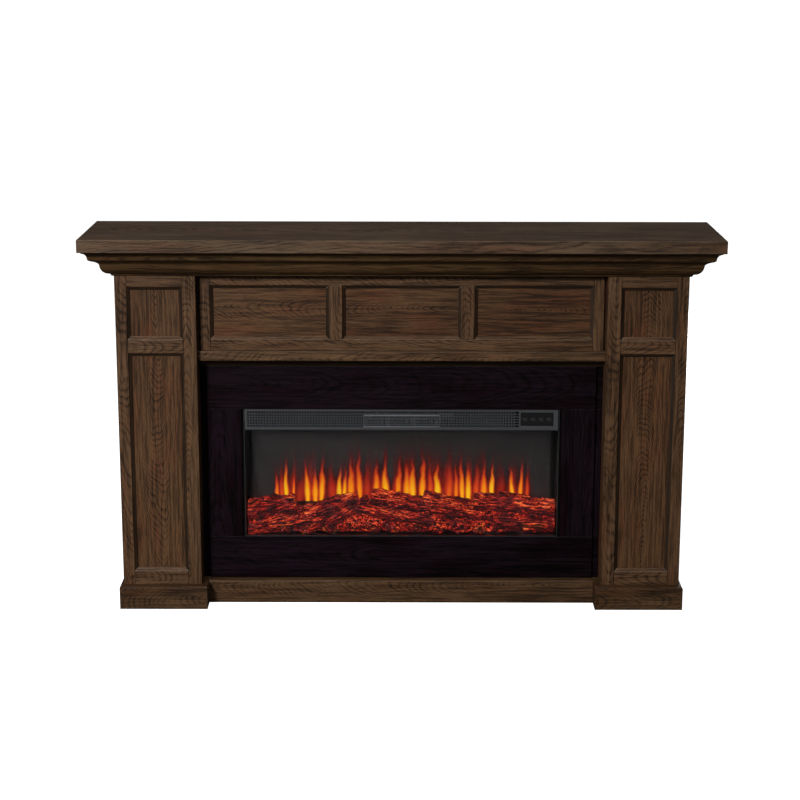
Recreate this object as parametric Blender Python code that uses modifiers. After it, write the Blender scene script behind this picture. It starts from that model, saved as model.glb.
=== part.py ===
"""Electric fireplace: a dark oak mantel around a fan heater insert with a flame window.

Run with: blender --background --python part.py
Units are metres. +X runs to the right, +Y to the back and +Z up. The origin is on the floor, in the middle
of the mantel shelf's width and depth. Depths are given as the distance behind the shelf's front edge.
"""

import math

import bmesh
import bpy
from mathutils import Matrix, Vector

INCH = 0.0254
GAP = 0.0003

# Mantel shelf and crown
SHELF_WIDTH = 74.75 * INCH
SHELF_DEPTH = 15.75 * INCH
SHELF_THICKNESS = 1.5 * INCH
MANTEL_HEIGHT = 45.75 * INCH
SHELF_UNDERSIDE = MANTEL_HEIGHT - SHELF_THICKNESS
SHELF_EASING = 0.06 * INCH
CROWN_FOOT = 40.9 * INCH
CROWN_REACH = 3.3 * INCH

# Pilasters
PILASTER_OUTSIDE = 33.8 * INCH
PILASTER_INSIDE = 24.27 * INCH
PILASTER_FACE = 4.35 * INCH
OUTER_STILE_WIDTH = 1.4 * INCH
INNER_STILE_WIDTH = 1.6 * INCH
TOP_RAIL_EDGE = 39.55 * INCH
MID_RAIL_LOW = 31.58 * INCH
MID_RAIL_HIGH = 33.22 * INCH
BOTTOM_RAIL_EDGE = 4.53 * INCH
BOARD = 0.75 * INCH
FRAME_THICKNESS = 0.85 * INCH

# Moulded inner edge of every frame, and the panel behind it
RECESS = 0.42 * INCH
STICKING_WIDTH = 0.38 * INCH
ARRIS = 0.05 * INCH
REBATE = 0.02 * INCH
PANEL_THICKNESS = 0.34 * INCH
COPE_CLEARANCE = 0.018 * INCH

# Plinths and base rail
PLINTH_HEIGHT = 2.85 * INCH
PLINTH_OUTSIDE = 34.19 * INCH
PLINTH_INSIDE = 23.55 * INCH
PLINTH_FACE = 3.34 * INCH
PLINTH_ROUND = 0.2 * INCH
BASE_RAIL_FACE = 5.9 * INCH

# Header and lintel
HEADER_FACE = 5.9 * INCH
HEADER_HALF = 24.0 * INCH
HEADER_STILE_EDGE = 22.75 * INCH
HEADER_TOP_EDGE = 39.5 * INCH
HEADER_BOTTOM_EDGE = 33.0 * INCH
MUNTIN_CENTRE = 7.85 * INCH
MUNTIN_WIDTH = 1.6 * INCH
LINTEL_FACE = 5.4 * INCH
LINTEL_TOP = 31.63 * INCH
LINTEL_ARRIS = 30.48 * INCH
LINTEL_FOOT = 29.5 * INCH

# Black surround
SURROUND_FACE = 7.05 * INCH
SURROUND_BACK = SURROUND_FACE + BOARD
SURROUND_STEP = 23.4 * INCH
STEP_DEPTH = 0.35 * INCH
OPENING_HALF = 19.38 * INCH
OPENING_LOW = 8.13 * INCH
OPENING_HIGH = 24.2 * INCH

# Insert housing
SHEET = 0.06 * INCH
HOUSING_HALF = 19.08 * INCH
HOUSING_FRONT = 7.1 * INCH
HOUSING_BACK = 13.6 * INCH
HOUSING_LOW = OPENING_LOW + GAP
HOUSING_HIGH = 24.15 * INCH
FLANGE_HALF = 19.85 * INCH
FLANGE_HIGH = 24.7 * INCH
REAR_SLOT_LOW = 22.75 * INCH
REAR_SLOT_PITCH = 0.4 * INCH
PARTITION = 21.55 * INCH
CHAMBER_FLOOR = PARTITION + SHEET

# Window, grille and controls
GLASS_FRONT = 7.14 * INCH
GLASS_THICKNESS = 0.157 * INCH
GLASS_HALF = 18.96 * INCH
GRILLE_HALF = 18.94 * INCH
GRILLE_FRONT = 7.16 * INCH
GRILLE_SHEET = 0.05 * INCH
OUTLET_HALF = 4.6 * INCH
OUTLET_LOW = 21.93 * INCH
OUTLET_HIGH = 23.47 * INCH
CONTROL_LEFT = 14.43 * INCH
CONTROL_RIGHT = 18.3 * INCH
CONTROL_LOW = 22.15 * INCH
CONTROL_HIGH = 23.75 * INCH
CONTROL_FRONT = 7.1 * INCH
CONTROL_BACK = 7.4 * INCH
BUTTON_WIDTH = 0.56 * INCH
BUTTON_HEIGHT = 0.42 * INCH
BUTTON_PROUD = 0.04 * INCH
BUTTON_NAMES = ("power_button", "flame_button", "heat_button", "timer_button")

# Log bed and flame screen
LOGS_HALF = 18.85 * INCH
LOGS_FRONT = 7.42 * INCH
LOGS_BACK = 10.2 * INCH
SCREEN_FRONT = 10.3 * INCH
SCREEN_THICKNESS = 0.12 * INCH
SCREEN_HALF = 18.35 * INCH
LAMP_COUNT = 12

# Flame spindle
SPINDLE_DEPTH = 12.0 * INCH
SPINDLE_HEIGHT = 11.0 * INCH
SPINDLE_SHAFT = 0.12 * INCH
FIN_REACH = 0.9 * INCH
FIN_COUNT = 18

# Fan heater
BLOWER_DEPTH = 10.2 * INCH
BLOWER_HEIGHT = 22.85 * INCH
WHEEL_RADIUS = 0.78 * INCH
WHEEL_HALF = 4.3 * INCH
WHEEL_SHAFT = 0.1 * INCH
BLADE_COUNT = 18
SCROLL_RADIUS = 0.92 * INCH
SCROLL_HALF = 4.45 * INCH

# Power inlet module
INLET_X = 15.35 * INCH
INLET_HEIGHT = 22.85 * INCH
INLET_WIDTH = 0.044
INLET_TALL = 0.024
INLET_DEEP = 0.022
ROCKER_TILT = math.radians(12)

RUNNING_CLEARANCE = 0.00008

# The two ways an outline can be laid: its first coordinate, its second, and the way it is extruded.
FACING = {
    "X": Matrix(((0, 0, 1, 0), (1, 0, 0, 0), (0, 1, 0, 0), (0, 0, 0, 1))),
    "Y": Matrix(((1, 0, 0, 0), (0, 0, -1, 0), (0, 1, 0, 0), (0, 0, 0, 1))),
    "Z": Matrix.Identity(4),
}


# ---------------------------------------------------------------- helpers


def clear_scene():
    for obj in list(bpy.data.objects):
        bpy.data.objects.remove(obj, do_unlink=True)


def new_collection(name):
    collection = bpy.data.collections.new(name)
    bpy.context.scene.collection.children.link(collection)
    return collection


def depth(distance):
    """The Y of a plane that lies this far behind the shelf's front edge."""
    return distance - SHELF_DEPTH / 2


def finish(name, colour, roughness, metallic=0.0):
    material = bpy.data.materials.new(name)
    material.use_nodes = True
    shader = material.node_tree.nodes["Principled BSDF"]
    shader.inputs["Base Color"].default_value = (*colour, 1)
    shader.inputs["Roughness"].default_value = roughness
    shader.inputs["Metallic"].default_value = metallic
    return material


def add_object(name, mesh, matrix, colour):
    """Puts a mesh in the model, or among the cutters when it has no colour."""
    obj = bpy.data.objects.new(name, mesh)
    obj.matrix_world = matrix
    if colour is None:
        CUTTERS.objects.link(obj)
        obj.hide_render = True
        obj.display_type = "WIRE"
    else:
        PARTS.objects.link(obj)
        material = bpy.data.materials.get(name) or colour.copy()
        material.name = name
        mesh.materials.append(material)
    return obj


def prism(name, outline, along, low, high, colour=None):
    """An outline extruded along X, Y or Z, and given in the other two axes, in alphabetical order."""
    us = [u for u, v in outline]
    vs = [v for u, v in outline]
    centre_u = (min(us) + max(us)) / 2
    centre_v = (min(vs) + max(vs)) / 2
    curve = bpy.data.curves.new(name, "CURVE")
    curve.dimensions = "2D"
    curve.fill_mode = "BOTH"
    curve.extrude = (high - low) / 2
    spline = curve.splines.new("POLY")
    spline.points.add(len(outline) - 1)
    for point, (u, v) in zip(spline.points, outline):
        point.co = (u - centre_u, v - centre_v, 0, 1)
    spline.use_cyclic_u = True
    middle = (low + high) / 2
    place = {
        "X": (middle, centre_u, centre_v),
        "Y": (centre_u, middle, centre_v),
        "Z": (centre_u, centre_v, middle),
    }[along]
    guide = bpy.data.objects.new(name + "_outline", curve)
    guide.matrix_world = Matrix.Translation(place) @ FACING[along]
    bpy.context.scene.collection.objects.link(guide)
    bpy.context.view_layer.update()
    graph = bpy.context.evaluated_depsgraph_get()
    mesh = bpy.data.meshes.new_from_object(guide.evaluated_get(graph))
    matrix = guide.matrix_world.copy()
    bpy.data.objects.remove(guide)
    tidy(mesh)
    mesh.name = name
    return add_object(name, mesh, matrix, colour)


def tidy(mesh):
    """Welds a mesh's loose caps and turns its faces outwards."""
    shape = bmesh.new()
    shape.from_mesh(mesh)
    bmesh.ops.remove_doubles(shape, verts=shape.verts, dist=0.00001)
    bmesh.ops.recalc_face_normals(shape, faces=shape.faces)
    shape.to_mesh(mesh)
    shape.free()
    mesh.materials.clear()


def add_blocks(shape, corners):
    """Adds one box to a bmesh for each (low corner, high corner)."""
    for low, high in corners:
        low = Vector(low)
        high = Vector(high)
        size = high - low
        matrix = Matrix.Translation((low + high) / 2) @ Matrix.Diagonal((*size, 1))
        bmesh.ops.create_cube(shape, size=1, matrix=matrix)


def blocks(name, corners, colour=None):
    """One object holding a box for each (low corner, high corner), with its origin in their middle."""
    middle = Vector(
        (min(low[i] for low, _ in corners) + max(high[i] for _, high in corners)) / 2 for i in range(3)
    )
    shape = bmesh.new()
    add_blocks(shape, [(Vector(low) - middle, Vector(high) - middle) for low, high in corners])
    mesh = bpy.data.meshes.new(name)
    shape.to_mesh(mesh)
    shape.free()
    return add_object(name, mesh, Matrix.Translation(middle), colour)


def block(name, low, high, colour=None, easing=0.0):
    part = blocks(name, [(low, high)], colour)
    if easing:
        bevel(part, easing, 2)
    return part


def rods(name, origin, pieces, colour=None, segments=32):
    """Cylinders that share an axis along X through the origin, one for each (low x, high x, radius)."""
    shape = bmesh.new()
    turn = Matrix.Rotation(math.radians(90), 4, "Y")
    for low, high, radius in pieces:
        place = Matrix.Translation(((low + high) / 2 - origin[0], 0, 0)) @ turn
        bmesh.ops.create_cone(
            shape,
            cap_ends=True,
            segments=segments,
            radius1=radius,
            radius2=radius,
            depth=high - low,
            matrix=place,
        )
    mesh = bpy.data.meshes.new(name)
    shape.to_mesh(mesh)
    shape.free()
    return add_object(name, mesh, Matrix.Translation(origin), colour)


def bevel(part, width, segments):
    modifier = part.modifiers.new("easing", "BEVEL")
    modifier.width = width
    modifier.segments = segments
    modifier.limit_method = "ANGLE"
    modifier.angle_limit = math.radians(50)
    modifier.use_clamp_overlap = True


def combine(part, other, operation):
    modifier = part.modifiers.new(other.name, "BOOLEAN")
    modifier.operation = operation
    modifier.object = other
    modifier.solver = "EXACT"


def cut(part, *cutters):
    for cutter in cutters:
        combine(part, cutter, "DIFFERENCE")


def join(part, *pieces):
    for piece in pieces:
        combine(part, piece, "UNION")


def shade_round(part):
    part.data.shade_smooth()
    part.data.set_sharp_from_angle(angle=math.radians(35))


def quarter(centre, radius, start, stop, steps):
    """Points of an arc, with its angles in degrees."""
    points = []
    for step in range(steps + 1):
        angle = math.radians(start + (stop - start) * step / steps)
        points.append((centre[0] + radius * math.cos(angle), centre[1] + radius * math.sin(angle)))
    return points


def sweep(start, control, end, steps):
    """Points of a smooth curve from start to end, pulled towards control. The start itself is left out."""
    points = []
    for step in range(1, steps + 1):
        t = step / steps
        weights = ((1 - t) ** 2, 2 * t * (1 - t), t * t)
        points.append(
            tuple(sum(w * p[i] for w, p in zip(weights, (start, control, end))) for i in range(2))
        )
    return points


def grown(outline, distance):
    """The outline moved outwards by a distance, with its corners kept square."""
    count = len(outline)
    area = sum(
        outline[i][0] * outline[(i + 1) % count][1] - outline[(i + 1) % count][0] * outline[i][1]
        for i in range(count)
    )
    side = math.copysign(1, area)
    moved = []
    for i in range(count):
        before = Vector(outline[i]) - Vector(outline[i - 1])
        after = Vector(outline[(i + 1) % count]) - Vector(outline[i])
        normal_before = Vector((before.y, -before.x)).normalized() * side
        normal_after = Vector((after.y, -after.x)).normalized() * side
        bisector = (normal_before + normal_after).normalized()
        reach = distance / max(bisector.dot(normal_after), 0.3)
        corner = Vector(outline[i]) + bisector * reach
        moved.append((corner.x, corner.y))
    return moved


# ---------------------------------------------------------------- mouldings


def sticking(across):
    """The moulded inner edge of a frame piece: (distance towards the panel, depth), from its face to its lip.

    An eased arris and a small quirk come first, then a slope to a rounded lip that stands on the panel.
    """
    profile = (
        (-1.0 * ARRIS, 0.0),
        (-0.3 * ARRIS, 0.3 * ARRIS),
        (0.0, 1.0 * ARRIS),
        (0.0, 2.2 * ARRIS),
        (0.74 * STICKING_WIDTH, 0.64 * RECESS),
        (0.93 * STICKING_WIDTH, 0.74 * RECESS),
        (STICKING_WIDTH, 0.88 * RECESS),
        (STICKING_WIDTH, RECESS),
        (REBATE, RECESS),
    )
    return [across(s, d) for s, d in profile]


def crown_profile():
    """The crown's section as (projection, height): bead, fillet, ovolo, cove, edge and flaring cove."""
    heights = {
        "bead": (0.3 * INCH, 41.12 * INCH),
        "fillet": (0.39 * INCH, 41.19 * INCH),
        "ovolo": (1.47 * INCH, 42.44 * INCH),
        "cove": (2.4 * INCH, 43.0 * INCH),
        "edge": (2.62 * INCH, 43.14 * INCH),
        "square": (2.65 * INCH, 43.3 * INCH),
        "flare": (3.22 * INCH, 44.0 * INCH),
    }
    foot = (GAP, CROWN_FOOT)
    points = [foot, (0.1 * INCH, CROWN_FOOT)]
    points += sweep(points[-1], (0.3 * INCH, 40.92 * INCH), heights["bead"], 3)
    points.append(heights["fillet"])
    points += sweep(heights["fillet"], (1.35 * INCH, 41.35 * INCH), heights["ovolo"], 6)
    points += sweep(heights["ovolo"], (1.56 * INCH, 42.72 * INCH), heights["cove"], 5)
    points += [heights["edge"], heights["square"]]
    points += sweep(heights["square"], (2.7 * INCH, 43.85 * INCH), heights["flare"], 5)
    points.append((CROWN_REACH, 44.05 * INCH))
    points.append((CROWN_REACH, SHELF_UNDERSIDE - GAP))
    points.append((GAP, SHELF_UNDERSIDE - GAP))
    return points


def trim_to_plane(part, point, normal):
    """Cuts away what lies beyond a plane and closes the cut: a sawn mitre."""
    shape = bmesh.new()
    shape.from_mesh(part.data)
    inverse = part.matrix_world.inverted()
    bmesh.ops.bisect_plane(
        shape,
        geom=shape.verts[:] + shape.edges[:] + shape.faces[:],
        plane_co=inverse @ Vector(point),
        plane_no=inverse.to_3x3() @ Vector(normal),
        clear_outer=True,
    )
    rim = [edge for edge in shape.edges if edge.is_boundary]
    bmesh.ops.contextual_create(shape, geom=rim)
    bmesh.ops.recalc_face_normals(shape, faces=shape.faces)
    shape.to_mesh(part.data)
    shape.free()


# ---------------------------------------------------------------- mantel


def make_shelf():
    low = (-SHELF_WIDTH / 2, depth(0), SHELF_UNDERSIDE)
    high = (SHELF_WIDTH / 2, depth(SHELF_DEPTH), MANTEL_HEIGHT)
    block("top_shelf", low, high, OAK_SHELF, SHELF_EASING)


def make_crown():
    profile = crown_profile()
    corner = (PILASTER_OUTSIDE, depth(PILASTER_FACE), 0)
    front_outline = [(depth(PILASTER_FACE) - p, z) for p, z in profile]
    reach = PILASTER_OUTSIDE + CROWN_REACH + BOARD
    front = prism("crown_front", front_outline, "X", -reach, reach, OAK_CROWN)
    for side, name in ((-1, "crown_left"), (1, "crown_right")):
        mitre = Vector((side, 1, 0)).normalized()
        point = Vector((side * corner[0], corner[1], 0))
        trim_to_plane(front, point - mitre * GAP / 2, mitre)
        outline = [(side * (PILASTER_OUTSIDE + p), z) for p, z in profile]
        start = depth(PILASTER_FACE - CROWN_REACH - BOARD)
        length = prism(name, outline, "Y", start, depth(SHELF_DEPTH), OAK_CROWN)
        trim_to_plane(length, point + mitre * GAP / 2, -mitre)
    low = (-PILASTER_INSIDE + GAP, depth(PILASTER_FACE), CROWN_FOOT)
    high = (PILASTER_INSIDE - GAP, depth(HEADER_FACE) - GAP, SHELF_UNDERSIDE - GAP)
    block("crown_backer", low, high, OAK_CROWN)


def stile_outline(face, outer, edge):
    """A stile's section in plan, from its outer edge to the moulded edge beside the panel."""
    way = math.copysign(1, edge - outer)
    front = depth(face)
    back = front + FRAME_THICKNESS
    outline = [
        (outer, back),
        (outer, front + ARRIS),
        (outer + way * 0.3 * ARRIS, front + 0.3 * ARRIS),
        (outer + way * ARRIS, front),
    ]
    outline += sticking(lambda s, d: (edge + way * s, front + d))
    outline.append((edge + way * REBATE, back))
    return outline


def rail_outline(face, outer, edge):
    """A rail's section in Y and Z, from its outer edge to the moulded edge beside the panel."""
    way = math.copysign(1, edge - outer)
    front = depth(face)
    back = front + FRAME_THICKNESS
    outline = [(back, outer), (front, outer)]
    outline += sticking(lambda s, d: (front + d, edge + way * s))
    outline.append((back, edge + way * REBATE))
    return outline


def thin_bar(low, high, across):
    """The section of a bar that lies on the panel, moulded on both edges."""
    right = sticking(lambda s, d: across(high + s, d))[:-1]
    left = sticking(lambda s, d: across(low - s, d))[:-1]
    return right + left[::-1]


def make_pilaster(side, word):
    def out(distance):
        return side * distance

    outer_edge = PILASTER_OUTSIDE - OUTER_STILE_WIDTH
    inner_edge = PILASTER_INSIDE + INNER_STILE_WIDTH
    low = PLINTH_HEIGHT + GAP
    high = SHELF_UNDERSIDE - GAP
    stiles = {
        "outer_stile": stile_outline(PILASTER_FACE, out(PILASTER_OUTSIDE), out(outer_edge)),
        "inner_stile": stile_outline(PILASTER_FACE, out(PILASTER_INSIDE), out(inner_edge)),
    }
    copes = []
    for name, outline in stiles.items():
        prism(f"{word}_{name}", outline, "Z", low, high, OAK_FRAME)
        cope = f"{word}_{name}_cope"
        copes.append(prism(cope, grown(outline, GAP), "Z", low - BOARD, high + BOARD))
    front = depth(PILASTER_FACE)
    rails = {
        "top_rail": rail_outline(PILASTER_FACE, high, TOP_RAIL_EDGE),
        "mid_rail": thin_bar(MID_RAIL_LOW, MID_RAIL_HIGH, lambda z, d: (front + d, z)),
        "bottom_rail": rail_outline(PILASTER_FACE, low, BOTTOM_RAIL_EDGE),
    }
    ends = sorted((out(inner_edge + COPE_CLEARANCE), out(outer_edge - COPE_CLEARANCE)))
    for name, outline in rails.items():
        rail = prism(f"{word}_{name}", outline, "X", ends[0], ends[1], OAK_FRAME)
        cut(rail, *copes)
    sides = sorted((out(inner_edge + REBATE + GAP), out(outer_edge - REBATE - GAP)))
    panel_front = front + RECESS + GAP
    block(
        f"{word}_panel",
        (sides[0], panel_front, BOTTOM_RAIL_EDGE + REBATE + GAP),
        (sides[1], panel_front + PANEL_THICKNESS, TOP_RAIL_EDGE - REBATE - GAP),
        OAK_PANEL,
    )
    board_front = front + FRAME_THICKNESS + GAP
    for name, inner, outer in (
        ("side_panel", PILASTER_OUTSIDE - BOARD, PILASTER_OUTSIDE),
        ("inner_panel", PILASTER_INSIDE, PILASTER_INSIDE + BOARD),
    ):
        xs = sorted((out(inner), out(outer)))
        block(f"{word}_{name}", (xs[0], board_front, low), (xs[1], depth(SHELF_DEPTH), high), OAK_PANEL)
    make_plinth(f"{word}_plinth", *sorted((out(PLINTH_INSIDE), out(PLINTH_OUTSIDE))))


def make_plinth(name, left, right):
    front = depth(PLINTH_FACE)
    plinth = block(name, (left, front, 0), (right, depth(SHELF_DEPTH), PLINTH_HEIGHT), OAK_FRAME)
    back = depth(SHELF_DEPTH) - plinth.location.y
    top = PLINTH_HEIGHT / 2
    shape = bmesh.new()
    shape.from_mesh(plinth.data)
    rounded = []
    for edge in shape.edges:
        on_top = all(vert.co.z > top - GAP for vert in edge.verts)
        at_back = all(vert.co.y > back - GAP for vert in edge.verts)
        if on_top and not at_back:
            rounded.append(edge)
    bmesh.ops.bevel(
        shape,
        geom=rounded,
        offset=PLINTH_ROUND,
        offset_type="OFFSET",
        segments=4,
        profile=0.5,
        affect="EDGES",
    )
    shape.to_mesh(plinth.data)
    shape.free()


def make_header():
    front = depth(HEADER_FACE)
    low = LINTEL_TOP + GAP
    high = SHELF_UNDERSIDE - GAP
    end_copes = []
    for side, word in ((-1, "left"), (1, "right")):
        outline = stile_outline(HEADER_FACE, side * HEADER_HALF, side * HEADER_STILE_EDGE)
        tongue = side * (PILASTER_INSIDE - GAP)
        back = front + FRAME_THICKNESS
        outline[:1] = [(tongue, back), (tongue, front + RECESS), (side * HEADER_HALF, front + RECESS)]
        prism(f"header_{word}_stile", outline, "Z", low, high, OAK_FRAME)
        cope = prism(f"header_{word}_cope", grown(outline, GAP), "Z", low - BOARD, high + BOARD)
        end_copes.append(cope)
    rail_copes = []
    half = HEADER_STILE_EDGE - COPE_CLEARANCE
    for name, outer, edge in (("top", high, HEADER_TOP_EDGE), ("bottom", low, HEADER_BOTTOM_EDGE)):
        outline = rail_outline(HEADER_FACE, outer, edge)
        rail = prism(f"header_{name}_rail", outline, "X", -half, half, OAK_FRAME)
        cut(rail, *end_copes)
        rail_copes.append(prism(f"header_{name}_cope", grown(outline, GAP), "X", -half, half))
    for side, word in ((-1, "left"), (1, "right")):
        centre = side * MUNTIN_CENTRE
        outline = thin_bar(centre - MUNTIN_WIDTH / 2, centre + MUNTIN_WIDTH / 2, lambda x, d: (x, front + d))
        muntin = prism(
            f"header_{word}_muntin",
            outline,
            "Z",
            HEADER_BOTTOM_EDGE + COPE_CLEARANCE,
            HEADER_TOP_EDGE - COPE_CLEARANCE,
            OAK_FRAME,
        )
        cut(muntin, *rail_copes)
    edge = HEADER_STILE_EDGE - REBATE - GAP
    panel_front = front + RECESS + GAP
    block(
        "header_panel",
        (-edge, panel_front, HEADER_BOTTOM_EDGE + REBATE + GAP),
        (edge, panel_front + PANEL_THICKNESS, HEADER_TOP_EDGE - REBATE - GAP),
        OAK_PANEL,
    )


def make_lintel_and_base():
    front = depth(LINTEL_FACE)
    back = depth(SURROUND_BACK)
    cove_end = (depth(SURROUND_FACE) - GAP, LINTEL_FOOT)
    cove_start = (front + 0.25 * INCH, LINTEL_ARRIS - 0.12 * INCH)
    outline = [
        (back, LINTEL_TOP),
        (front + ARRIS, LINTEL_TOP),
        (front, LINTEL_TOP - ARRIS),
        (front, LINTEL_ARRIS + ARRIS),
        (front + 0.3 * ARRIS, LINTEL_ARRIS + 0.3 * ARRIS),
        (front + ARRIS, LINTEL_ARRIS),
        cove_start,
    ]
    outline += sweep(cove_start, (depth(6.5 * INCH), 30.2 * INCH), cove_end, 5)
    outline.append((back, LINTEL_FOOT))
    half = PILASTER_INSIDE - GAP
    prism("lintel", outline, "X", -half, half, OAK_FRAME)

    front = depth(BASE_RAIL_FACE)
    centre = (front + PLINTH_ROUND, PLINTH_HEIGHT - PLINTH_ROUND)
    outline = [(back, 0), (front, 0)]
    outline += quarter(centre, PLINTH_ROUND, 180, 90, 4)
    outline.append((back, PLINTH_HEIGHT))
    half = PLINTH_INSIDE - GAP
    prism("base_rail", outline, "X", -half, half, OAK_FRAME)


def make_surround():
    """Black boards around the insert. Their outer ends step back beside the pilasters."""
    front = depth(SURROUND_FACE)
    step = front + STEP_DEPTH
    back = depth(SURROUND_BACK)
    end = PILASTER_INSIDE - GAP
    across = [
        (-end, back),
        (-end, step),
        (-SURROUND_STEP, step),
        (-SURROUND_STEP, front),
        (SURROUND_STEP, front),
        (SURROUND_STEP, step),
        (end, step),
        (end, back),
    ]
    prism("surround_top", across, "Z", OPENING_HIGH, LINTEL_FOOT - GAP, EBONISED)
    prism("surround_bottom", across, "Z", PLINTH_HEIGHT + GAP, OPENING_LOW, EBONISED)
    for side, word in ((-1, "left"), (1, "right")):
        upright = [
            (side * OPENING_HALF, back),
            (side * OPENING_HALF, front),
            (side * SURROUND_STEP, front),
            (side * SURROUND_STEP, step),
            (side * end, step),
            (side * end, back),
        ]
        board = prism(f"surround_{word}", upright, "Z", OPENING_LOW + GAP, OPENING_HIGH - GAP, EBONISED)
        bevel(board, 0.5 * ARRIS, 1)


def make_structure():
    end = PILASTER_INSIDE - GAP
    back = depth(SHELF_DEPTH)
    block("rear_stretcher", (-end, back - BOARD, 40 * INCH), (end, back, SHELF_UNDERSIDE - GAP), OAK_PANEL)
    block(
        "hearth_board",
        (-end, depth(SURROUND_BACK) + GAP, OPENING_LOW - BOARD),
        (end, depth(14.6 * INCH), OPENING_LOW),
        OAK_PANEL,
    )


# ---------------------------------------------------------------- insert


def make_housing():
    """A sheet steel box in two rooms, with a flange that closes the opening from behind the surround."""
    front = depth(HOUSING_FRONT)
    back = depth(HOUSING_BACK)
    housing = block(
        "firebox_housing",
        (-HOUSING_HALF, front, HOUSING_LOW),
        (HOUSING_HALF, back, HOUSING_HIGH),
        BLACK_STEEL,
    )
    flange_front = depth(SURROUND_BACK) + GAP
    flange = block(
        "housing_flange",
        (-FLANGE_HALF, flange_front, HOUSING_LOW),
        (FLANGE_HALF, flange_front + SHEET, FLANGE_HIGH),
    )
    join(housing, flange)
    inside = HOUSING_HALF - SHEET
    rooms = (
        ("lower_room", HOUSING_LOW + SHEET, PARTITION),
        ("upper_room", CHAMBER_FLOOR, HOUSING_HIGH - SHEET),
    )
    for name, low, high in rooms:
        cut(housing, block(name, (-inside, front - BOARD, low), (inside, back - SHEET, high)))
    window = block(
        "inlet_window",
        (INLET_X - INLET_WIDTH / 2 - GAP, back - BOARD, INLET_HEIGHT - INLET_TALL / 2 - GAP),
        (INLET_X + INLET_WIDTH / 2 + GAP, back + BOARD, INLET_HEIGHT + INLET_TALL / 2 + GAP),
    )
    bearing = rods(
        "bearing_hole",
        (-HOUSING_HALF, depth(SPINDLE_DEPTH), SPINDLE_HEIGHT),
        [(-HOUSING_HALF - BOARD, -HOUSING_HALF + 0.3 * INCH, SPINDLE_SHAFT + RUNNING_CLEARANCE)],
    )
    slot_width = 1.2 * INCH
    slots = []
    for column in range(6):
        x = (-16.5 + 1.7 * column) * INCH
        for row in range(3):
            z = REAR_SLOT_LOW + REAR_SLOT_PITCH * row
            slots.append(((x, back - BOARD, z), (x + slot_width, back + BOARD, z + 0.2 * INCH)))
    cut(housing, window, bearing, blocks("rear_slots", slots))


def make_glass():
    block(
        "front_glass",
        (-GLASS_HALF, depth(GLASS_FRONT), 8.27 * INCH),
        (GLASS_HALF, depth(GLASS_FRONT + GLASS_THICKNESS), 21.48 * INCH),
        GLASS,
        0.0005,
    )


def make_grille():
    """A perforated strip with folded lips, the frame around the warm air outlet and the control panel."""
    front = depth(GRILLE_FRONT)
    back = front + GRILLE_SHEET
    low = CHAMBER_FLOOR + GAP
    high = HOUSING_HIGH - SHEET - GAP
    lip = depth(7.09 * INCH)
    outline = [
        (back, low),
        (lip, low),
        (lip, low + 0.06 * INCH),
        (front, low + 0.06 * INCH),
        (front, high - 0.14 * INCH),
        (lip, high - 0.14 * INCH),
        (lip, high),
        (back, high),
    ]
    grille = prism("vent_grille", outline, "X", -GRILLE_HALF, GRILLE_HALF, BLACK_STEEL)
    hole = block(
        "control_window",
        (CONTROL_LEFT - GAP, lip - BOARD, CONTROL_LOW - GAP),
        (CONTROL_RIGHT + GAP, back + BOARD, CONTROL_HIGH + GAP),
    )
    slots = []
    pitch = 1.6 * INCH
    slot_width = 1.3 * INCH
    for column in range(20):
        x = -18.55 * INCH + pitch * column
        for row in range(4):
            z = (22.12 + 0.42 * row) * INCH
            slots.append(((x, lip - BOARD, z), (x + slot_width, back + BOARD, z + 0.2 * INCH)))
    cut(grille, hole, blocks("grille_slots", slots))

    frame_front = depth(7.03 * INCH)
    frame = block(
        "outlet_louvre",
        (-OUTLET_HALF, frame_front, OUTLET_LOW),
        (OUTLET_HALF, front - GAP, OUTLET_HIGH),
        BLACK_STEEL,
    )
    lip_height = 0.12 * INCH
    cheek = 0.1 * INCH
    third = (2 * OUTLET_HALF - cheek) / 3
    lights = []
    for number in range(3):
        x = -OUTLET_HALF + cheek + third * number
        low = (x, frame_front - BOARD, OUTLET_LOW + lip_height)
        high = (x + third - cheek, front + BOARD, OUTLET_HIGH - lip_height)
        lights.append((low, high))
    cut(frame, blocks("outlet_lights", lights))


def make_controls():
    front = depth(CONTROL_FRONT)
    back = depth(CONTROL_BACK)
    panel = block(
        "control_panel",
        (CONTROL_LEFT, front, CONTROL_LOW),
        (CONTROL_RIGHT, back, CONTROL_HIGH),
        GLOSS_BLACK,
    )
    pitch = (CONTROL_RIGHT - CONTROL_LEFT) / len(BUTTON_NAMES)
    z = (CONTROL_LOW + CONTROL_HIGH) / 2
    holes = []
    flange = 0.05 * INCH
    for number, name in enumerate(BUTTON_NAMES):
        x = CONTROL_LEFT + pitch * (number + 0.5)
        low = (x - BUTTON_WIDTH / 2, front - BUTTON_PROUD, z - BUTTON_HEIGHT / 2)
        high = (x + BUTTON_WIDTH / 2, back + flange, z + BUTTON_HEIGHT / 2)
        button = block(name, low, high, GLOSS_BLACK)
        edge = block(
            name + "_flange",
            (low[0] - flange, back + GAP, low[2] - flange),
            (high[0] + flange, back + 2 * flange, high[2] + flange),
        )
        join(button, edge)
        holes.append(
            ((low[0] - GAP, front - BOARD, low[2] - GAP), (high[0] + GAP, back + BOARD, high[2] + GAP))
        )
    cut(panel, blocks("button_holes", holes))


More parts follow.
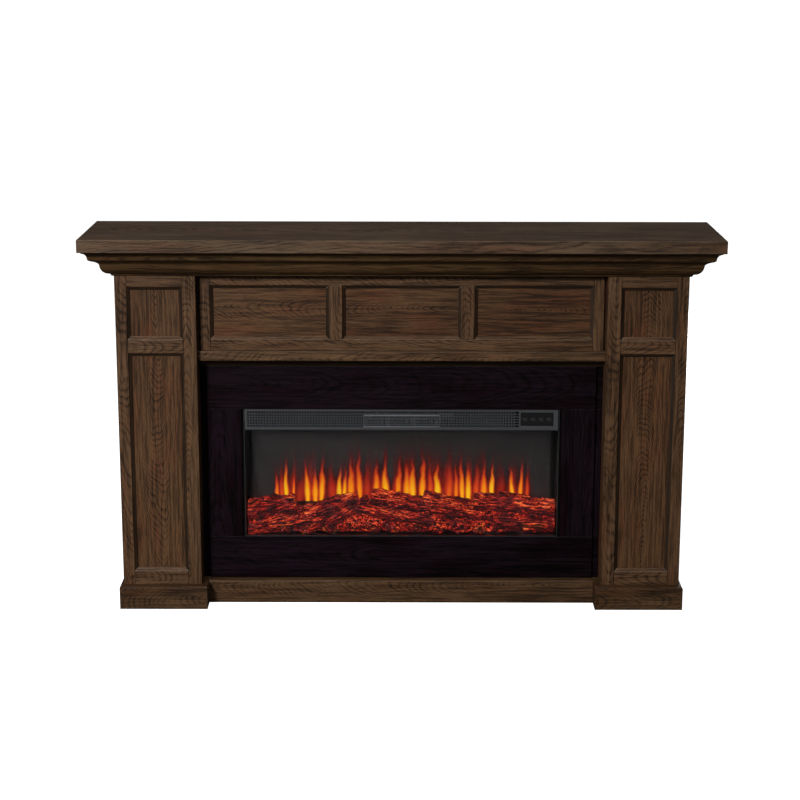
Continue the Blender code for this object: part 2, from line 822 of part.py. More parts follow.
def make_log_bed():
    """A moulded shell, open underneath, with logs lying across it, and the screen behind it."""
    floor = HOUSING_LOW + SHEET + GAP
    front = depth(LOGS_FRONT)
    back = depth(LOGS_BACK)
    wall = 0.3 * INCH
    outline = [
        (front, floor),
        (front, 9.6 * INCH),
        (depth(7.9 * INCH), 11.4 * INCH),
        (depth(8.9 * INCH), 12.5 * INCH),
        (back, 12.9 * INCH),
        (back, floor),
    ]
    hollow = [
        (front + wall, floor - BOARD),
        (front + wall, 9.5 * INCH),
        (depth(8.2 * INCH), 11.1 * INCH),
        (depth(9.0 * INCH), 12.1 * INCH),
        (back - wall, 12.5 * INCH),
        (back - wall, floor - BOARD),
    ]
    bed = prism("log_set", outline, "X", -LOGS_HALF, LOGS_HALF, EMBER)
    logs = (
        ("log_far_left", -14.6, 8.75, 12.1, 6.2, 1.05, 10),
        ("log_left", -7.4, 8.9, 12.3, 8.6, 1.15, -8),
        ("log_middle", 1.2, 8.8, 12.5, 9.0, 1.1, 7),
        ("log_right", 9.2, 8.85, 12.2, 7.4, 1.1, -9),
        ("log_far_right", 15.6, 8.8, 12.2, 4.6, 1.05, 6),
    )
    for name, x, y, z, length, radius, lean in logs:
        reach = (x - length / 2, x + length / 2, radius)
        place = (x * INCH, depth(y * INCH), z * INCH)
        log = rods(name, place, [tuple(value * INCH for value in reach)], None, 12)
        log.rotation_euler = (0, math.radians(lean), 0)
        join(bed, log)
    cut(bed, prism("under_logs", hollow, "X", -LOGS_HALF - BOARD, LOGS_HALF + BOARD))
    block(
        "flame_screen",
        (-SCREEN_HALF, depth(SCREEN_FRONT), floor),
        (SCREEN_HALF, depth(SCREEN_FRONT + SCREEN_THICKNESS), PARTITION - GAP),
        SCREEN_GREY,
    )


def make_light_strip(name, y, half):
    floor = HOUSING_LOW + SHEET + GAP
    width = 0.5 * INCH
    middle = depth(y)
    strip = block(
        name,
        (-half, middle - width / 2, floor),
        (half, middle + width / 2, floor + 0.06 * INCH),
        BOARD_GREEN,
    )
    lamps = []
    lamp = 0.2 * INCH
    for number in range(LAMP_COUNT):
        x = -half + 2 * half * (number + 0.5) / LAMP_COUNT
        low = (x - lamp / 2, middle - lamp / 2, floor + 0.03 * INCH)
        high = (x + lamp / 2, middle + lamp / 2, floor + 0.12 * INCH)
        lamps.append((low, high))
    join(strip, blocks(name + "_lamps", lamps))


def make_flame_spindle():
    origin = (0, depth(SPINDLE_DEPTH), SPINDLE_HEIGHT)
    left = -HOUSING_HALF + 0.02 * INCH
    right = 17.7 * INCH
    shaft = rods("flame_spindle", origin, [(left, right, SPINDLE_SHAFT)], ALUMINIUM)
    shape = bmesh.new()
    span = 33.6 * INCH
    for number in range(FIN_COUNT):
        x = -span / 2 + span * (number + 0.5) / FIN_COUNT
        turn = Matrix.Rotation(math.radians(50 * number), 4, "X")
        fin = Matrix.Translation((x, 0, 0)) @ turn @ Matrix.Rotation(math.radians(12), 4, "Z")
        size = Matrix.Diagonal((1.3 * INCH, 0.03 * INCH, 2 * FIN_REACH, 1))
        bmesh.ops.create_cube(shape, size=1, matrix=fin @ size)
    mesh = bpy.data.meshes.new("spindle_fins")
    shape.to_mesh(mesh)
    shape.free()
    join(shaft, add_object("spindle_fins", mesh, Matrix.Translation(origin), None))
    shade_round(shaft)

    motor_left = 17.25 * INCH
    motor_origin = (motor_left, origin[1], origin[2])
    motor = rods("spindle_motor", motor_origin, [(motor_left, 18.6 * INCH, 0.7 * INCH)], STEEL)
    bore = rods(
        "spindle_motor_bore",
        motor_origin,
        [(motor_left - BOARD, 17.78 * INCH, SPINDLE_SHAFT + RUNNING_CLEARANCE)],
    )
    plate = block(
        "spindle_motor_plate",
        (18.5 * INCH, origin[1] - 0.95 * INCH, origin[2] - 0.4 * INCH),
        (HOUSING_HALF - SHEET - GAP, origin[1] + 0.95 * INCH, origin[2] + 0.4 * INCH),
    )
    join(motor, plate)
    cut(motor, bore)
    shade_round(motor)


def make_blower():
    y = depth(BLOWER_DEPTH)
    origin = (0, y, BLOWER_HEIGHT)
    disc = 0.06 * INCH
    shaft_left = -SCROLL_HALF - 0.05 * INCH
    shaft_right = 5.2 * INCH
    wheel = rods("blower_wheel", origin, [(shaft_left, shaft_right, WHEEL_SHAFT)], ALUMINIUM)
    discs = []
    for x in (-WHEEL_HALF, -WHEEL_HALF / 3, WHEEL_HALF / 3, WHEEL_HALF - disc):
        discs.append((x, x + disc, WHEEL_RADIUS - 0.03 * INCH))
    join(wheel, rods("wheel_discs", origin, discs))
    shape = bmesh.new()
    for number in range(BLADE_COUNT):
        turn = Matrix.Rotation(2 * math.pi * number / BLADE_COUNT, 4, "X")
        pitch = Matrix.Rotation(math.radians(35), 4, "X")
        reach = Matrix.Translation((0, 0, WHEEL_RADIUS - 0.14 * INCH))
        size = Matrix.Diagonal((2 * WHEEL_HALF - disc, 0.025 * INCH, 0.26 * INCH, 1))
        bmesh.ops.create_cube(shape, size=1, matrix=turn @ reach @ pitch @ size)
    mesh = bpy.data.meshes.new("wheel_blades")
    shape.to_mesh(mesh)
    shape.free()
    join(wheel, add_object("wheel_blades", mesh, Matrix.Translation(origin), None))
    shade_round(wheel)

    sheet = 0.05 * INCH
    inner = quarter((y, BLOWER_HEIGHT), SCROLL_RADIUS, -110, 75, 12)
    outer = quarter((y, BLOWER_HEIGHT), SCROLL_RADIUS + sheet, -110, 75, 12)
    outlet_front = depth(8.7 * INCH)
    floor = [(outlet_front, outer[0][1]), (outlet_front, outer[0][1] + sheet)]
    outline = floor + inner + outer[::-1]
    scroll = prism("blower_housing", outline, "X", -SCROLL_HALF, SCROLL_HALF, STEEL)
    ends = []
    plate = 0.06 * INCH
    for x in (-SCROLL_HALF, SCROLL_HALF - plate):
        ends.append(
            (
                (x, outlet_front + 0.02 * INCH, CHAMBER_FLOOR + GAP),
                (x + plate, y + SCROLL_RADIUS + 0.1 * INCH, HOUSING_HIGH - SHEET - GAP),
            )
        )
    tongue = (
        (-SCROLL_HALF + plate / 2, outlet_front + 0.1 * INCH, 23.7 * INCH),
        (SCROLL_HALF - plate / 2, outlet_front + 0.5 * INCH, 23.78 * INCH),
    )
    join(scroll, blocks("blower_ends", ends), block("blower_tongue", *tongue))
    cut(scroll, rods("blower_bore", origin, [(-6 * INCH, 6 * INCH, WHEEL_SHAFT + RUNNING_CLEARANCE)]))

    motor_left = SCROLL_HALF + 0.05 * INCH
    motor_origin = (motor_left, y, BLOWER_HEIGHT)
    motor = rods("blower_motor", motor_origin, [(motor_left, 6.3 * INCH, 0.8 * INCH)], STEEL)
    bore = rods(
        "blower_motor_bore",
        motor_origin,
        [(motor_left - BOARD, 5.3 * INCH, WHEEL_SHAFT + RUNNING_CLEARANCE)],
    )
    cut(motor, bore)
    shade_round(motor)

    fins = []
    fin_count = 14
    half = 4.3 * INCH
    pitch = (2 * half - 0.2 * INCH) / fin_count
    element = block(
        "heater_element",
        (-half, depth(7.75 * INCH), 22.0 * INCH),
        (half, depth(8.5 * INCH), 23.45 * INCH),
        STEEL,
    )
    for number in range(fin_count):
        x = -half + 0.2 * INCH + pitch * number
        low = (x, depth(7 * INCH), 22.15 * INCH)
        high = (x + pitch - 0.12 * INCH, depth(9 * INCH), 23.3 * INCH)
        fins.append((low, high))
    cut(element, blocks("heater_gaps", fins))


def make_electrics():
    y = depth(10.5 * INCH)
    z = CHAMBER_FLOOR + GAP
    board = block(
        "control_board",
        (8 * INCH, y - 1.5 * INCH, z),
        (12.6 * INCH, y + 1.5 * INCH, z + 0.07 * INCH),
        BOARD_GREEN,
    )
    base = z + 0.03 * INCH
    pieces = [
        ((8.4 * INCH, y - 1.1 * INCH, base), (9.8 * INCH, y + 0.2 * INCH, z + 1.1 * INCH)),
        ((10.3 * INCH, y - 1.0 * INCH, base), (11.0 * INCH, y - 0.3 * INCH, z + 0.7 * INCH)),
        ((11.3 * INCH, y - 1.0 * INCH, base), (12.0 * INCH, y - 0.3 * INCH, z + 0.7 * INCH)),
        ((10.3 * INCH, y + 0.5 * INCH, base), (12.2 * INCH, y + 1.1 * INCH, z + 0.4 * INCH)),
    ]
    join(board, blocks("board_parts", pieces))

    wall = depth(HOUSING_BACK)
    inner = wall - INLET_DEEP
    half_width = INLET_WIDTH / 2
    half_tall = INLET_TALL / 2
    module = block(
        "power_inlet",
        (INLET_X - half_width, inner, INLET_HEIGHT - half_tall),
        (INLET_X + half_width, wall + 0.002, INLET_HEIGHT + half_tall),
        MATT_BLACK,
    )
    flange = block(
        "inlet_flange",
        (INLET_X - half_width - 0.003, wall + GAP, INLET_HEIGHT - half_tall - 0.003),
        (INLET_X + half_width + 0.003, wall + 0.0025, INLET_HEIGHT + half_tall + 0.003),
    )
    socket_x = INLET_X - 0.0065
    socket = block(
        "inlet_socket",
        (socket_x - 0.0135, wall - 0.015, INLET_HEIGHT - 0.0098),
        (socket_x + 0.0135, wall + 0.01, INLET_HEIGHT + 0.0098),
    )
    pins = []
    for x, z in ((-0.007, 0.002), (0, -0.003), (0.007, 0.002)):
        pins.append(
            (
                (socket_x + x - 0.001, wall - 0.017, INLET_HEIGHT + z - 0.002),
                (socket_x + x + 0.001, wall - 0.006, INLET_HEIGHT + z + 0.002),
            )
        )
    rocker_x = INLET_X + 0.0148
    pocket = block(
        "rocker_pocket",
        (rocker_x - 0.0055, wall - 0.009, INLET_HEIGHT - 0.0095),
        (rocker_x + 0.0055, wall + 0.01, INLET_HEIGHT + 0.0095),
    )
    pivot = (rocker_x, wall - 0.001, INLET_HEIGHT)
    hole = (rocker_x - 0.0068, rocker_x + 0.0068, 0.0012 + RUNNING_CLEARANCE)
    axle = rods("rocker_axle_hole", pivot, [hole])
    join(module, flange)
    cut(module, socket, pocket, axle)
    join(module, blocks("inlet_pins", pins))

    face = 0.0084
    outline = [(-0.0025, -face), (0.0045, -face), (0.0022, 0), (0.0045, face), (-0.0025, face), (-0.0045, 0)]
    tilted = []
    for u, v in outline:
        turned = Vector((u, v))
        turned.rotate(Matrix.Rotation(-ROCKER_TILT, 2))
        tilted.append((pivot[1] + turned.x, pivot[2] + turned.y))
    rocker = prism("rocker_switch", tilted, "X", rocker_x - 0.005, rocker_x + 0.005, GLOSS_BLACK)
    shift = Vector(pivot) - rocker.matrix_world.translation
    rocker.data.transform(Matrix.Translation(-(FACING["X"].inverted() @ shift)))
    rocker.matrix_world.translation = pivot
    join(rocker, rods("rocker_axle", pivot, [(rocker_x - 0.0065, rocker_x + 0.0065, 0.0012)]))


# ---------------------------------------------------------------- assembly


clear_scene()
PARTS = new_collection("electric_fireplace")
CUTTERS = new_collection("cutters")
CUTTERS.hide_render = True

OAK_FRAME = finish("oak_frame", (0.078, 0.046, 0.026), 0.5)
OAK_PANEL = finish("oak_panel", (0.070, 0.038, 0.020), 0.5)
OAK_SHELF = finish("oak_shelf", (0.060, 0.040, 0.026), 0.5)
OAK_CROWN = finish("oak_crown", (0.060, 0.034, 0.016), 0.5)
EBONISED = finish("ebonised_oak", (0.006, 0.005, 0.007), 0.5)
BLACK_STEEL = finish("black_steel", (0.02, 0.021, 0.022), 0.5, 0.6)
GLASS = finish("glass", (0.05, 0.05, 0.05), 0.05)
GLOSS_BLACK = finish("gloss_black", (0.008, 0.008, 0.009), 0.2)
MATT_BLACK = finish("matt_black", (0.015, 0.015, 0.016), 0.6)
EMBER = finish("ember", (0.25, 0.03, 0.01), 0.8)
SCREEN_GREY = finish("screen_grey", (0.028, 0.026, 0.026), 0.5)
STEEL = finish("zinc_steel", (0.5, 0.5, 0.5), 0.4, 1.0)
ALUMINIUM = finish("aluminium", (0.75, 0.75, 0.76), 0.3, 1.0)
BOARD_GREEN = finish("board_green", (0.02, 0.12, 0.05), 0.5)

make_shelf()
make_crown()
make_pilaster(-1, "left")
make_pilaster(1, "right")
make_header()
make_lintel_and_base()
make_surround()
make_structure()
make_housing()
make_glass()
make_grille()
make_controls()
make_log_bed()
make_light_strip("led_strip", 12.0 * INCH, 16.8 * INCH)
make_light_strip("ember_led_strip", 8.6 * INCH, 17.4 * INCH)
make_flame_spindle()
make_blower()
make_electrics()
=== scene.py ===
"""The looks of the electric fireplace: dark oiled oak, an ebonised surround and a glowing flame insert."""

import math
import random

import bpy
from mathutils import Matrix, Vector
from mathutils.noise import noise as noise_at
from mathutils.noise import turbulence, voronoi


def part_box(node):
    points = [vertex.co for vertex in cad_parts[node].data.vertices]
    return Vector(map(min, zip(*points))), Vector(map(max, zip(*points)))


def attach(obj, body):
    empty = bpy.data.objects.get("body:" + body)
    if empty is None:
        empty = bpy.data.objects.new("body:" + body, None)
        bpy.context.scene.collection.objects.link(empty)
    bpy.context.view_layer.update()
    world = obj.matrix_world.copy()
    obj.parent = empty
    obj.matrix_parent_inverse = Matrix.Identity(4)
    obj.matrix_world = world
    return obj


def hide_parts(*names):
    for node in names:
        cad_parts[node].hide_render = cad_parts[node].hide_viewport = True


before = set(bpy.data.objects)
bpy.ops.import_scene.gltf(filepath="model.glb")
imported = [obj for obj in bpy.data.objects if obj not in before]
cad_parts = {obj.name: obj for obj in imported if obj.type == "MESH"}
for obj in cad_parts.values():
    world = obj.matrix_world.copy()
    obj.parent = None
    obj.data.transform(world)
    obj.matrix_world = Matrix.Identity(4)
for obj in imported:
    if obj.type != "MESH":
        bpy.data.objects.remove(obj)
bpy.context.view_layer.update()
ROOT = "mantel"
INCH = 0.0254

# The floor's side in metres, and how bright the surroundings are.
FLOOR_SIZE = 240
AMBIENT = 0.13

# The camera: its place in metres, its tilt below the level in degrees, and its turn and roll in radians.
CAMERA_PLACE = (-0.0019, -5.763, 2.0115)
CAMERA_LENS = 86.77
CAMERA_TILT = 13.4
CAMERA_TURN = 0.0005
CAMERA_ROLL = 0.0019

# Oak: how rough it is between the pores, how strongly its relief shows, and how far its arrises are eased.
OAK_ROUGHNESS = 0.46
OAK_RELIEF = 0.4
BEVEL_RADIUS = 0.0016

# How dark the painted shade lies on a frame's slanting faces in its hollows, how dark the glaze lies along
# arrises, and how strongly an upper arris gets the painted highlight.
RECESS_SHADE = 0.8
EDGE_GLAZE = 0.8
ARRIS_HIGHLIGHT = 0.9

# Sizes are in inches from here on, unless said. A depth is measured back from the shelf's front edge.
FRONT_EDGE = 7.875

# The vent grille: its frame, its mesh and the window for the control panel.
GRILLE_HALF = 18.93
GRILLE_LOW = 21.63
GRILLE_HIGH = 24.07
GRILLE_FRONT = 7.095
GRILLE_BACK = 7.205
MESH_LEFT = -18.75
MESH_RIGHT = 14.2
MESH_LOW = 21.82
MESH_HIGH = 23.9
PANEL_LEFT = 14.4
PANEL_RIGHT = 18.36
PANEL_LOW = 22.11
PANEL_HIGH = 23.79

# The mesh's wires: their spacing, their radii, and where they run.
WIRE_PITCH = 0.33
LEVEL_COUNT = 6
UPRIGHT_RADIUS = 0.078
UPRIGHT_START = (-18.7, 7.17, 21.75)
UPRIGHT_END = (-18.7, 7.17, 23.95)
LEVEL_RADIUS = 0.07
LEVEL_START = (-18.8, 7.135, 21.92)
LEVEL_END = (14.3, 7.135, 21.92)

# The warm air outlet: its lips, and the cheeks and ribs between them, which are set back.
LIP = 0.13
CHEEK = 0.05
RIB = 0.06
SET_BACK = 0.05
OUTLET_BACK = 7.085

# The flames: a faint row at the back, and brighter tongues in front of it, in layers.
BACK_FLAMES = 56
BACK_FLAME_START = -14.8
BACK_FLAME_STEP = 0.55
BACK_FLAME_PEAK = 21.6
BACK_FLAME_FALL = 0.22
BACK_FLAME_FOOT = 11.8
BACK_FLAME_DEPTH = 10.285
FLAME_FOOT = 11.7
FLAME_DEPTH = 10.20
FLAME_LAYER = 0.012
FLAME_LAYERS = 6
FLAME_TOP = 21.3

# A tongue's light fades before its outline ends, so its mesh reaches higher and is wider.
EXTRA_HEIGHT = 2.5
EXTRA_WIDTH = 1.2

# The embers: the steps along a log and round it, and the band at its ends that shows rings.
LOG_STEP = 0.085
LOG_SIDES = 22
END_BAND = 0.12

# The bank of small coals behind them: its size across, back and up, and its middle.
BANK_SIZE = (37.4, 1.7, 3.2)
BANK_MIDDLE = (0, 9.15, 9.9)

# How much painted shade darkens the seams between logs, and how much the duller logs are darkened.
SEAM_SHADE = 1.3
DULL_SHADE = 0.9

# In metres: how far the embers stay inside their box, and how fine the bank of coals is.
BED_MARGIN = 0.0006
COAL_VOXEL = 0.0042


# ------------------------------------------------------------------ camera, light and floor


def place_camera():
    """The camera stands in front, a little above the shelf, and looks down at it."""
    camera = bpy.data.cameras.new("camera")
    camera.lens = CAMERA_LENS
    camera.sensor_width = 36
    camera.clip_end = 300
    holder = bpy.data.objects.new("camera", camera)
    bpy.context.scene.collection.objects.link(holder)
    tilt = Matrix.Rotation(math.radians(90 - CAMERA_TILT), 4, "X")
    turn = Matrix.Rotation(CAMERA_TURN, 4, "Z") @ tilt @ Matrix.Rotation(CAMERA_ROLL, 4, "Z")
    holder.matrix_world = Matrix.Translation(CAMERA_PLACE) @ turn
    bpy.context.scene.camera = holder


def soft_light(name, place, target, size, power):
    """A rectangular light that is turned to its target and isn't seen itself."""
    light = bpy.data.lights.new(name, "AREA")
    light.shape = "RECTANGLE"
    light.size, light.size_y = size
    light.energy = power
    holder = bpy.data.objects.new(name, light)
    bpy.context.scene.collection.objects.link(holder)
    holder.location = place
    holder.rotation_euler = (Vector(target) - Vector(place)).to_track_quat("-Z", "Y").to_euler()
    holder.visible_camera = False


def light_studio():
    """Dim surroundings, a key from the left, a weak light from above and one low at the back."""
    world = bpy.data.worlds.new("studio")
    world.use_nodes = True
    sky = world.node_tree.nodes["Background"]
    sky.inputs["Color"].default_value = (1, 1, 1, 1)
    seen = add(world.node_tree, "ShaderNodeLightPath").outputs["Is Camera Ray"]
    brightness = remap(world.node_tree, seen, 0.0, 1.0, AMBIENT, 1.0)
    world.node_tree.links.new(brightness, sky.inputs["Strength"])
    bpy.context.scene.world = world
    soft_light("key_light", (-2.2, -4.6, 2.9), (0, 0, 0.6), (1.1, 0.8), 290)
    soft_light("top_light", (0.4, -1.6, 4.4), (0, 0, 0.9), (2.4, 0.8), 40)
    soft_light("back_light", (3.0, 4.2, 0.72), (0, 0.2, 0.6), (2.4, 0.6), 110)
    bpy.context.scene.view_settings.view_transform = "Standard"


def lay_floor():
    """A wide pale floor: white where it is seen, and dim where it would light the object from below."""
    bpy.ops.object.select_all(action="DESELECT")
    bpy.ops.mesh.primitive_plane_add(size=FLOOR_SIZE)
    floor = bpy.context.object
    floor.name = "floor"
    material = new_material("pale_floor")
    tree = material.node_tree
    shader = shader_of(material)
    seen = add(tree, "ShaderNodeLightPath").outputs["Is Camera Ray"]
    paint = blend_colours(tree, seen, (0.14, 0.14, 0.14, 1), (0.9, 0.9, 0.9, 1))
    glow = blend_colours(tree, seen, (0, 0, 0, 1), (0.95, 0.95, 0.95, 1))
    tree.links.new(paint, shader.inputs["Base Color"])
    tree.links.new(glow, shader.inputs["Emission Color"])
    shader.inputs["Emission Strength"].default_value = 1.0
    shader.inputs["Roughness"].default_value = 0.9
    shader.inputs["Specular IOR Level"].default_value = 0.1
    wear(floor, material)


# ------------------------------------------------------------------ shader helpers


def new_material(name):
    material = bpy.data.materials.new(name)
    material.use_nodes = True
    return material


def shader_of(material):
    return material.node_tree.nodes["Principled BSDF"]


def wear(obj, material):
    obj.data.materials.clear()
    obj.data.materials.append(material)


def feed(tree, node, inputs):
    """Gives a node's inputs their values, or links them where the value is a socket."""
    for key, value in inputs.items():
        if isinstance(value, bpy.types.NodeSocket):
            tree.links.new(value, node.inputs[key])
        else:
            node.inputs[key].default_value = value


def add(tree, kind, inputs=None, **settings):
    """A node with its settings, and its inputs given as values or as sockets to link."""
    made = tree.nodes.new(kind)
    for key, value in settings.items():
        setattr(made, key, value)
    feed(tree, made, inputs or {})
    return made


def math_node(tree, operation, a, b=0.0, clamp=False):
    made = add(tree, "ShaderNodeMath", {0: a, 1: b}, operation=operation, use_clamp=clamp)
    return made.outputs[0]


def noise(tree, vector, scale, detail=2.0, roughness=0.5):
    inputs = {"Vector": vector, "Scale": scale, "Detail": detail, "Roughness": roughness}
    return add(tree, "ShaderNodeTexNoise", inputs).outputs["Fac"]


def stretched(tree, vector, scale):
    made = add(tree, "ShaderNodeVectorMath", {0: vector, 1: scale}, operation="MULTIPLY")
    return made.outputs["Vector"]


def remap(tree, value, low, high, to_low=0.0, to_high=1.0):
    """Takes low to to_low and high to to_high, with an easy curve between and nothing beyond."""
    inputs = {"Value": value, "From Min": low, "From Max": high, "To Min": to_low, "To Max": to_high}
    return add(tree, "ShaderNodeMapRange", inputs, interpolation_type="SMOOTHSTEP").outputs["Result"]


def blend_colours(tree, factor, a, b):
    made = tree.nodes.new("ShaderNodeMix")
    made.data_type = "RGBA"
    feed(tree, made, {0: factor, 6: a, 7: b})
    return made.outputs[2]


def new_group(name, inputs, outputs):
    """A node group, with what it is given and what it gives out."""
    group = bpy.data.node_groups.new(name, "ShaderNodeTree")
    for label, kind, value in inputs:
        socket = group.interface.new_socket(label, in_out="INPUT", socket_type=kind)
        if value is not None:
            socket.default_value = value
    for label, kind in outputs:
        group.interface.new_socket(label, in_out="OUTPUT", socket_type=kind)
    given = group.nodes.new("NodeGroupInput").outputs
    out = group.nodes.new("NodeGroupOutput").inputs
    return group, given, out


def use_group(tree, group, inputs):
    made = tree.nodes.new("ShaderNodeGroup")
    made.node_tree = group
    feed(tree, made, inputs)
    return made.outputs


# ------------------------------------------------------------------ oak


# How the heart of the tree runs off along the boards whose figure shows most.
FIGURED = {"left_panel": -0.11, "right_panel": 0.12, "left_plinth": 0.12, "right_plinth": -0.12}
# The colour of the pores, also used for the glaze along arrises and for the painted shade in a frame's
# hollows.
PORE_AND_SHADE_COLOUR = (0.007, 0.004, 0.002, 1)

# Each tone: its light wood, dark wood, reddish wood, the colour of the painted highlight on its upper
# arrises, and the width of a year's ring.
TONES = {
    "frame": (
        (0.112, 0.058, 0.027),
        (0.016, 0.0078, 0.0030),
        (0.098, 0.043, 0.019),
        (0.30, 0.24, 0.18),
        0.0025,
    ),
    "panel": (
        (0.104, 0.050, 0.021),
        (0.014, 0.0062, 0.0024),
        (0.112, 0.041, 0.016),
        (0.28, 0.20, 0.14),
        0.0022,
    ),
    "shelf": (
        (0.096, 0.059, 0.034),
        (0.026, 0.015, 0.0080),
        (0.098, 0.049, 0.026),
        (0.22, 0.17, 0.12),
        0.0040,
    ),
    "crown": (
        (0.072, 0.038, 0.013),
        (0.010, 0.0050, 0.0015),
        (0.066, 0.029, 0.009),
        (0.13, 0.095, 0.05),
        0.0038,
    ),
    "board": (
        (0.092, 0.053, 0.029),
        (0.024, 0.0135, 0.0075),
        (0.088, 0.043, 0.022),
        (0.15, 0.10, 0.06),
        0.0042,
    ),
    "base": (
        (0.094, 0.049, 0.022),
        (0.013, 0.0066, 0.0024),
        (0.084, 0.036, 0.014),
        (0.28, 0.22, 0.16),
        0.0025,
    ),
    "black": (
        (0.0088, 0.0042, 0.0078),
        (0.0001, 0.0001, 0.0001),
        (0.0060, 0.0012, 0.0034),
        (0.04, 0.035, 0.04),
        0.0055,
    ),
}


def oak_grain_group():
    """Plain-sawn oak. The vector runs along the grain, across it and into the board, from the heart."""
    group, given, out = new_group(
        "oak_grain",
        [
            ("Vector", "NodeSocketVector", None),
            ("Light", "NodeSocketColor", (0.1, 0.06, 0.04, 1)),
            ("Dark", "NodeSocketColor", (0.04, 0.03, 0.02, 1)),
            ("Red", "NodeSocketColor", (0.1, 0.04, 0.02, 1)),
            ("Ring Width", "NodeSocketFloat", 0.004),
            ("Taper", "NodeSocketFloat", 0.1),
        ],
        [("Color", "NodeSocketColor"), ("Roughness", "NodeSocketFloat"), ("Height", "NodeSocketFloat")],
    )
    vector = given["Vector"]
    parts = add(group, "ShaderNodeSeparateXYZ", {0: vector}).outputs
    along, across, inward = parts[0], parts[1], parts[2]
    sway = noise(group, stretched(group, vector, (2.4, 9.0, 9.0)), 1.0, 2.0)
    sway = math_node(group, "MULTIPLY", math_node(group, "SUBTRACT", sway, 0.5), 0.032)
    ripple = noise(group, stretched(group, vector, (13.0, 70.0, 70.0)), 1.0, 3.0)
    ripple = math_node(group, "MULTIPLY", math_node(group, "SUBTRACT", ripple, 0.5), 0.003)
    heart = math_node(group, "ADD", inward, math_node(group, "MULTIPLY", along, given["Taper"]))
    flat = add(group, "ShaderNodeCombineXYZ", {0: across, 1: heart, 2: 0.0}).outputs[0]
    radius = add(group, "ShaderNodeVectorMath", {0: flat}, operation="LENGTH").outputs["Value"]
    radius = math_node(group, "ADD", math_node(group, "ADD", radius, sway), ripple)
    count = math_node(group, "DIVIDE", radius, given["Ring Width"])
    year = math_node(group, "FRACT", count)
    early = math_node(group, "MULTIPLY", remap(group, year, 0.0, 0.15), remap(group, year, 0.6, 0.2))
    turn = math_node(group, "MULTIPLY", count, 0.37)
    age = add(group, "ShaderNodeCombineXYZ", {0: turn, 1: 4.0}).outputs[0]
    strength = remap(group, noise(group, age, 1.0, 2.0, 0.7), 0.36, 0.64, 0.25, 1.0)
    early = math_node(group, "MULTIPLY", early, strength)
    fibres = noise(group, stretched(group, vector, (18.0, 520.0, 520.0)), 1.0, 3.0)
    streaks = noise(group, stretched(group, vector, (7.0, 150.0, 150.0)), 1.0, 4.0, 0.65)
    pores = noise(group, stretched(group, vector, (55.0, 1300.0, 1300.0)), 1.0, 2.0)
    crowding = remap(group, early, 0.0, 0.6, 0.35, 1.0)
    pores = math_node(group, "MULTIPLY", remap(group, pores, 0.5, 0.64), crowding)
    cloud = noise(group, stretched(group, vector, (2.5, 8.0, 8.0)), 1.0, 3.0)
    shade = math_node(group, "MULTIPLY", early, 0.48)
    shade = math_node(group, "ADD", shade, remap(group, streaks, 0.36, 0.64, 0.0, 0.7))
    shade = math_node(group, "ADD", shade, remap(group, fibres, 0.3, 0.7, -0.2, 0.2))
    shade = math_node(group, "ADD", shade, remap(group, cloud, 0.35, 0.65, -0.12, 0.16), clamp=True)
    blush = noise(group, stretched(group, vector, (3.0, 14.0, 14.0)), 1.0, 3.0, 0.6)
    warm = blend_colours(group, remap(group, blush, 0.42, 0.66), given["Light"], given["Red"])
    colour = blend_colours(group, shade, warm, given["Dark"])
    pored = blend_colours(group, math_node(group, "MULTIPLY", pores, 0.65), colour, PORE_AND_SHADE_COLOUR)
    group.links.new(pored, out["Color"])
    fibre_gloss = remap(group, fibres, 0.2, 0.8, 0.0, 0.12)
    rough = math_node(group, "ADD", fibre_gloss, math_node(group, "MULTIPLY", pores, 0.2))
    group.links.new(rough, out["Roughness"])
    height = math_node(group, "SUBTRACT", math_node(group, "MULTIPLY", fibres, 0.35), pores)
    height = math_node(group, "SUBTRACT", height, math_node(group, "MULTIPLY", early, 0.25))
    group.links.new(height, out["Height"])
    return group


def edge_group():
    """Where the arrises are, where one faces up and gets a painted highlight, where a face slants, and the
    eased normal.
    """
    group, given, out = new_group(
        "edges",
        [("Radius", "NodeSocketFloat", 0.0012)],
        [
            ("Edge", "NodeSocketFloat"),
            ("Painted Highlight", "NodeSocketFloat"),
            ("Slant", "NodeSocketFloat"),
            ("Normal", "NodeSocketVector"),
        ],
    )
    eased = add(group, "ShaderNodeBevel", {"Radius": given["Radius"]}, samples=4).outputs[0]
    true = add(group, "ShaderNodeNewGeometry").outputs["Normal"]
    match = add(group, "ShaderNodeVectorMath", {0: eased, 1: true}, operation="DOT_PRODUCT").outputs["Value"]
    facing = add(group, "ShaderNodeSeparateXYZ", {0: eased}).outputs[2]
    corner = remap(group, match, 0.99, 0.85)
    group.links.new(corner, out["Edge"])
    # An arris that faces up gets the painted highlight.
    group.links.new(math_node(group, "MULTIPLY", corner, remap(group, facing, 0.15, 0.6)), out["Painted Highlight"])
    group.links.new(eased, out["Normal"])
    size = add(group, "ShaderNodeVectorMath", {0: true}, operation="ABSOLUTE").outputs[0]
    sides = add(group, "ShaderNodeSeparateXYZ", {0: size}).outputs
    widest = math_node(group, "MAXIMUM", sides[0], sides[1])
    widest = math_node(group, "MAXIMUM", widest, sides[2])
    lower = add(group, "ShaderNodeSeparateXYZ", {0: true}).outputs[2]
    slanting = math_node(group, "MULTIPLY", remap(group, widest, 0.97, 0.86), remap(group, lower, 0.3, 0.1))
    group.links.new(slanting, out["Slant"])
    return group


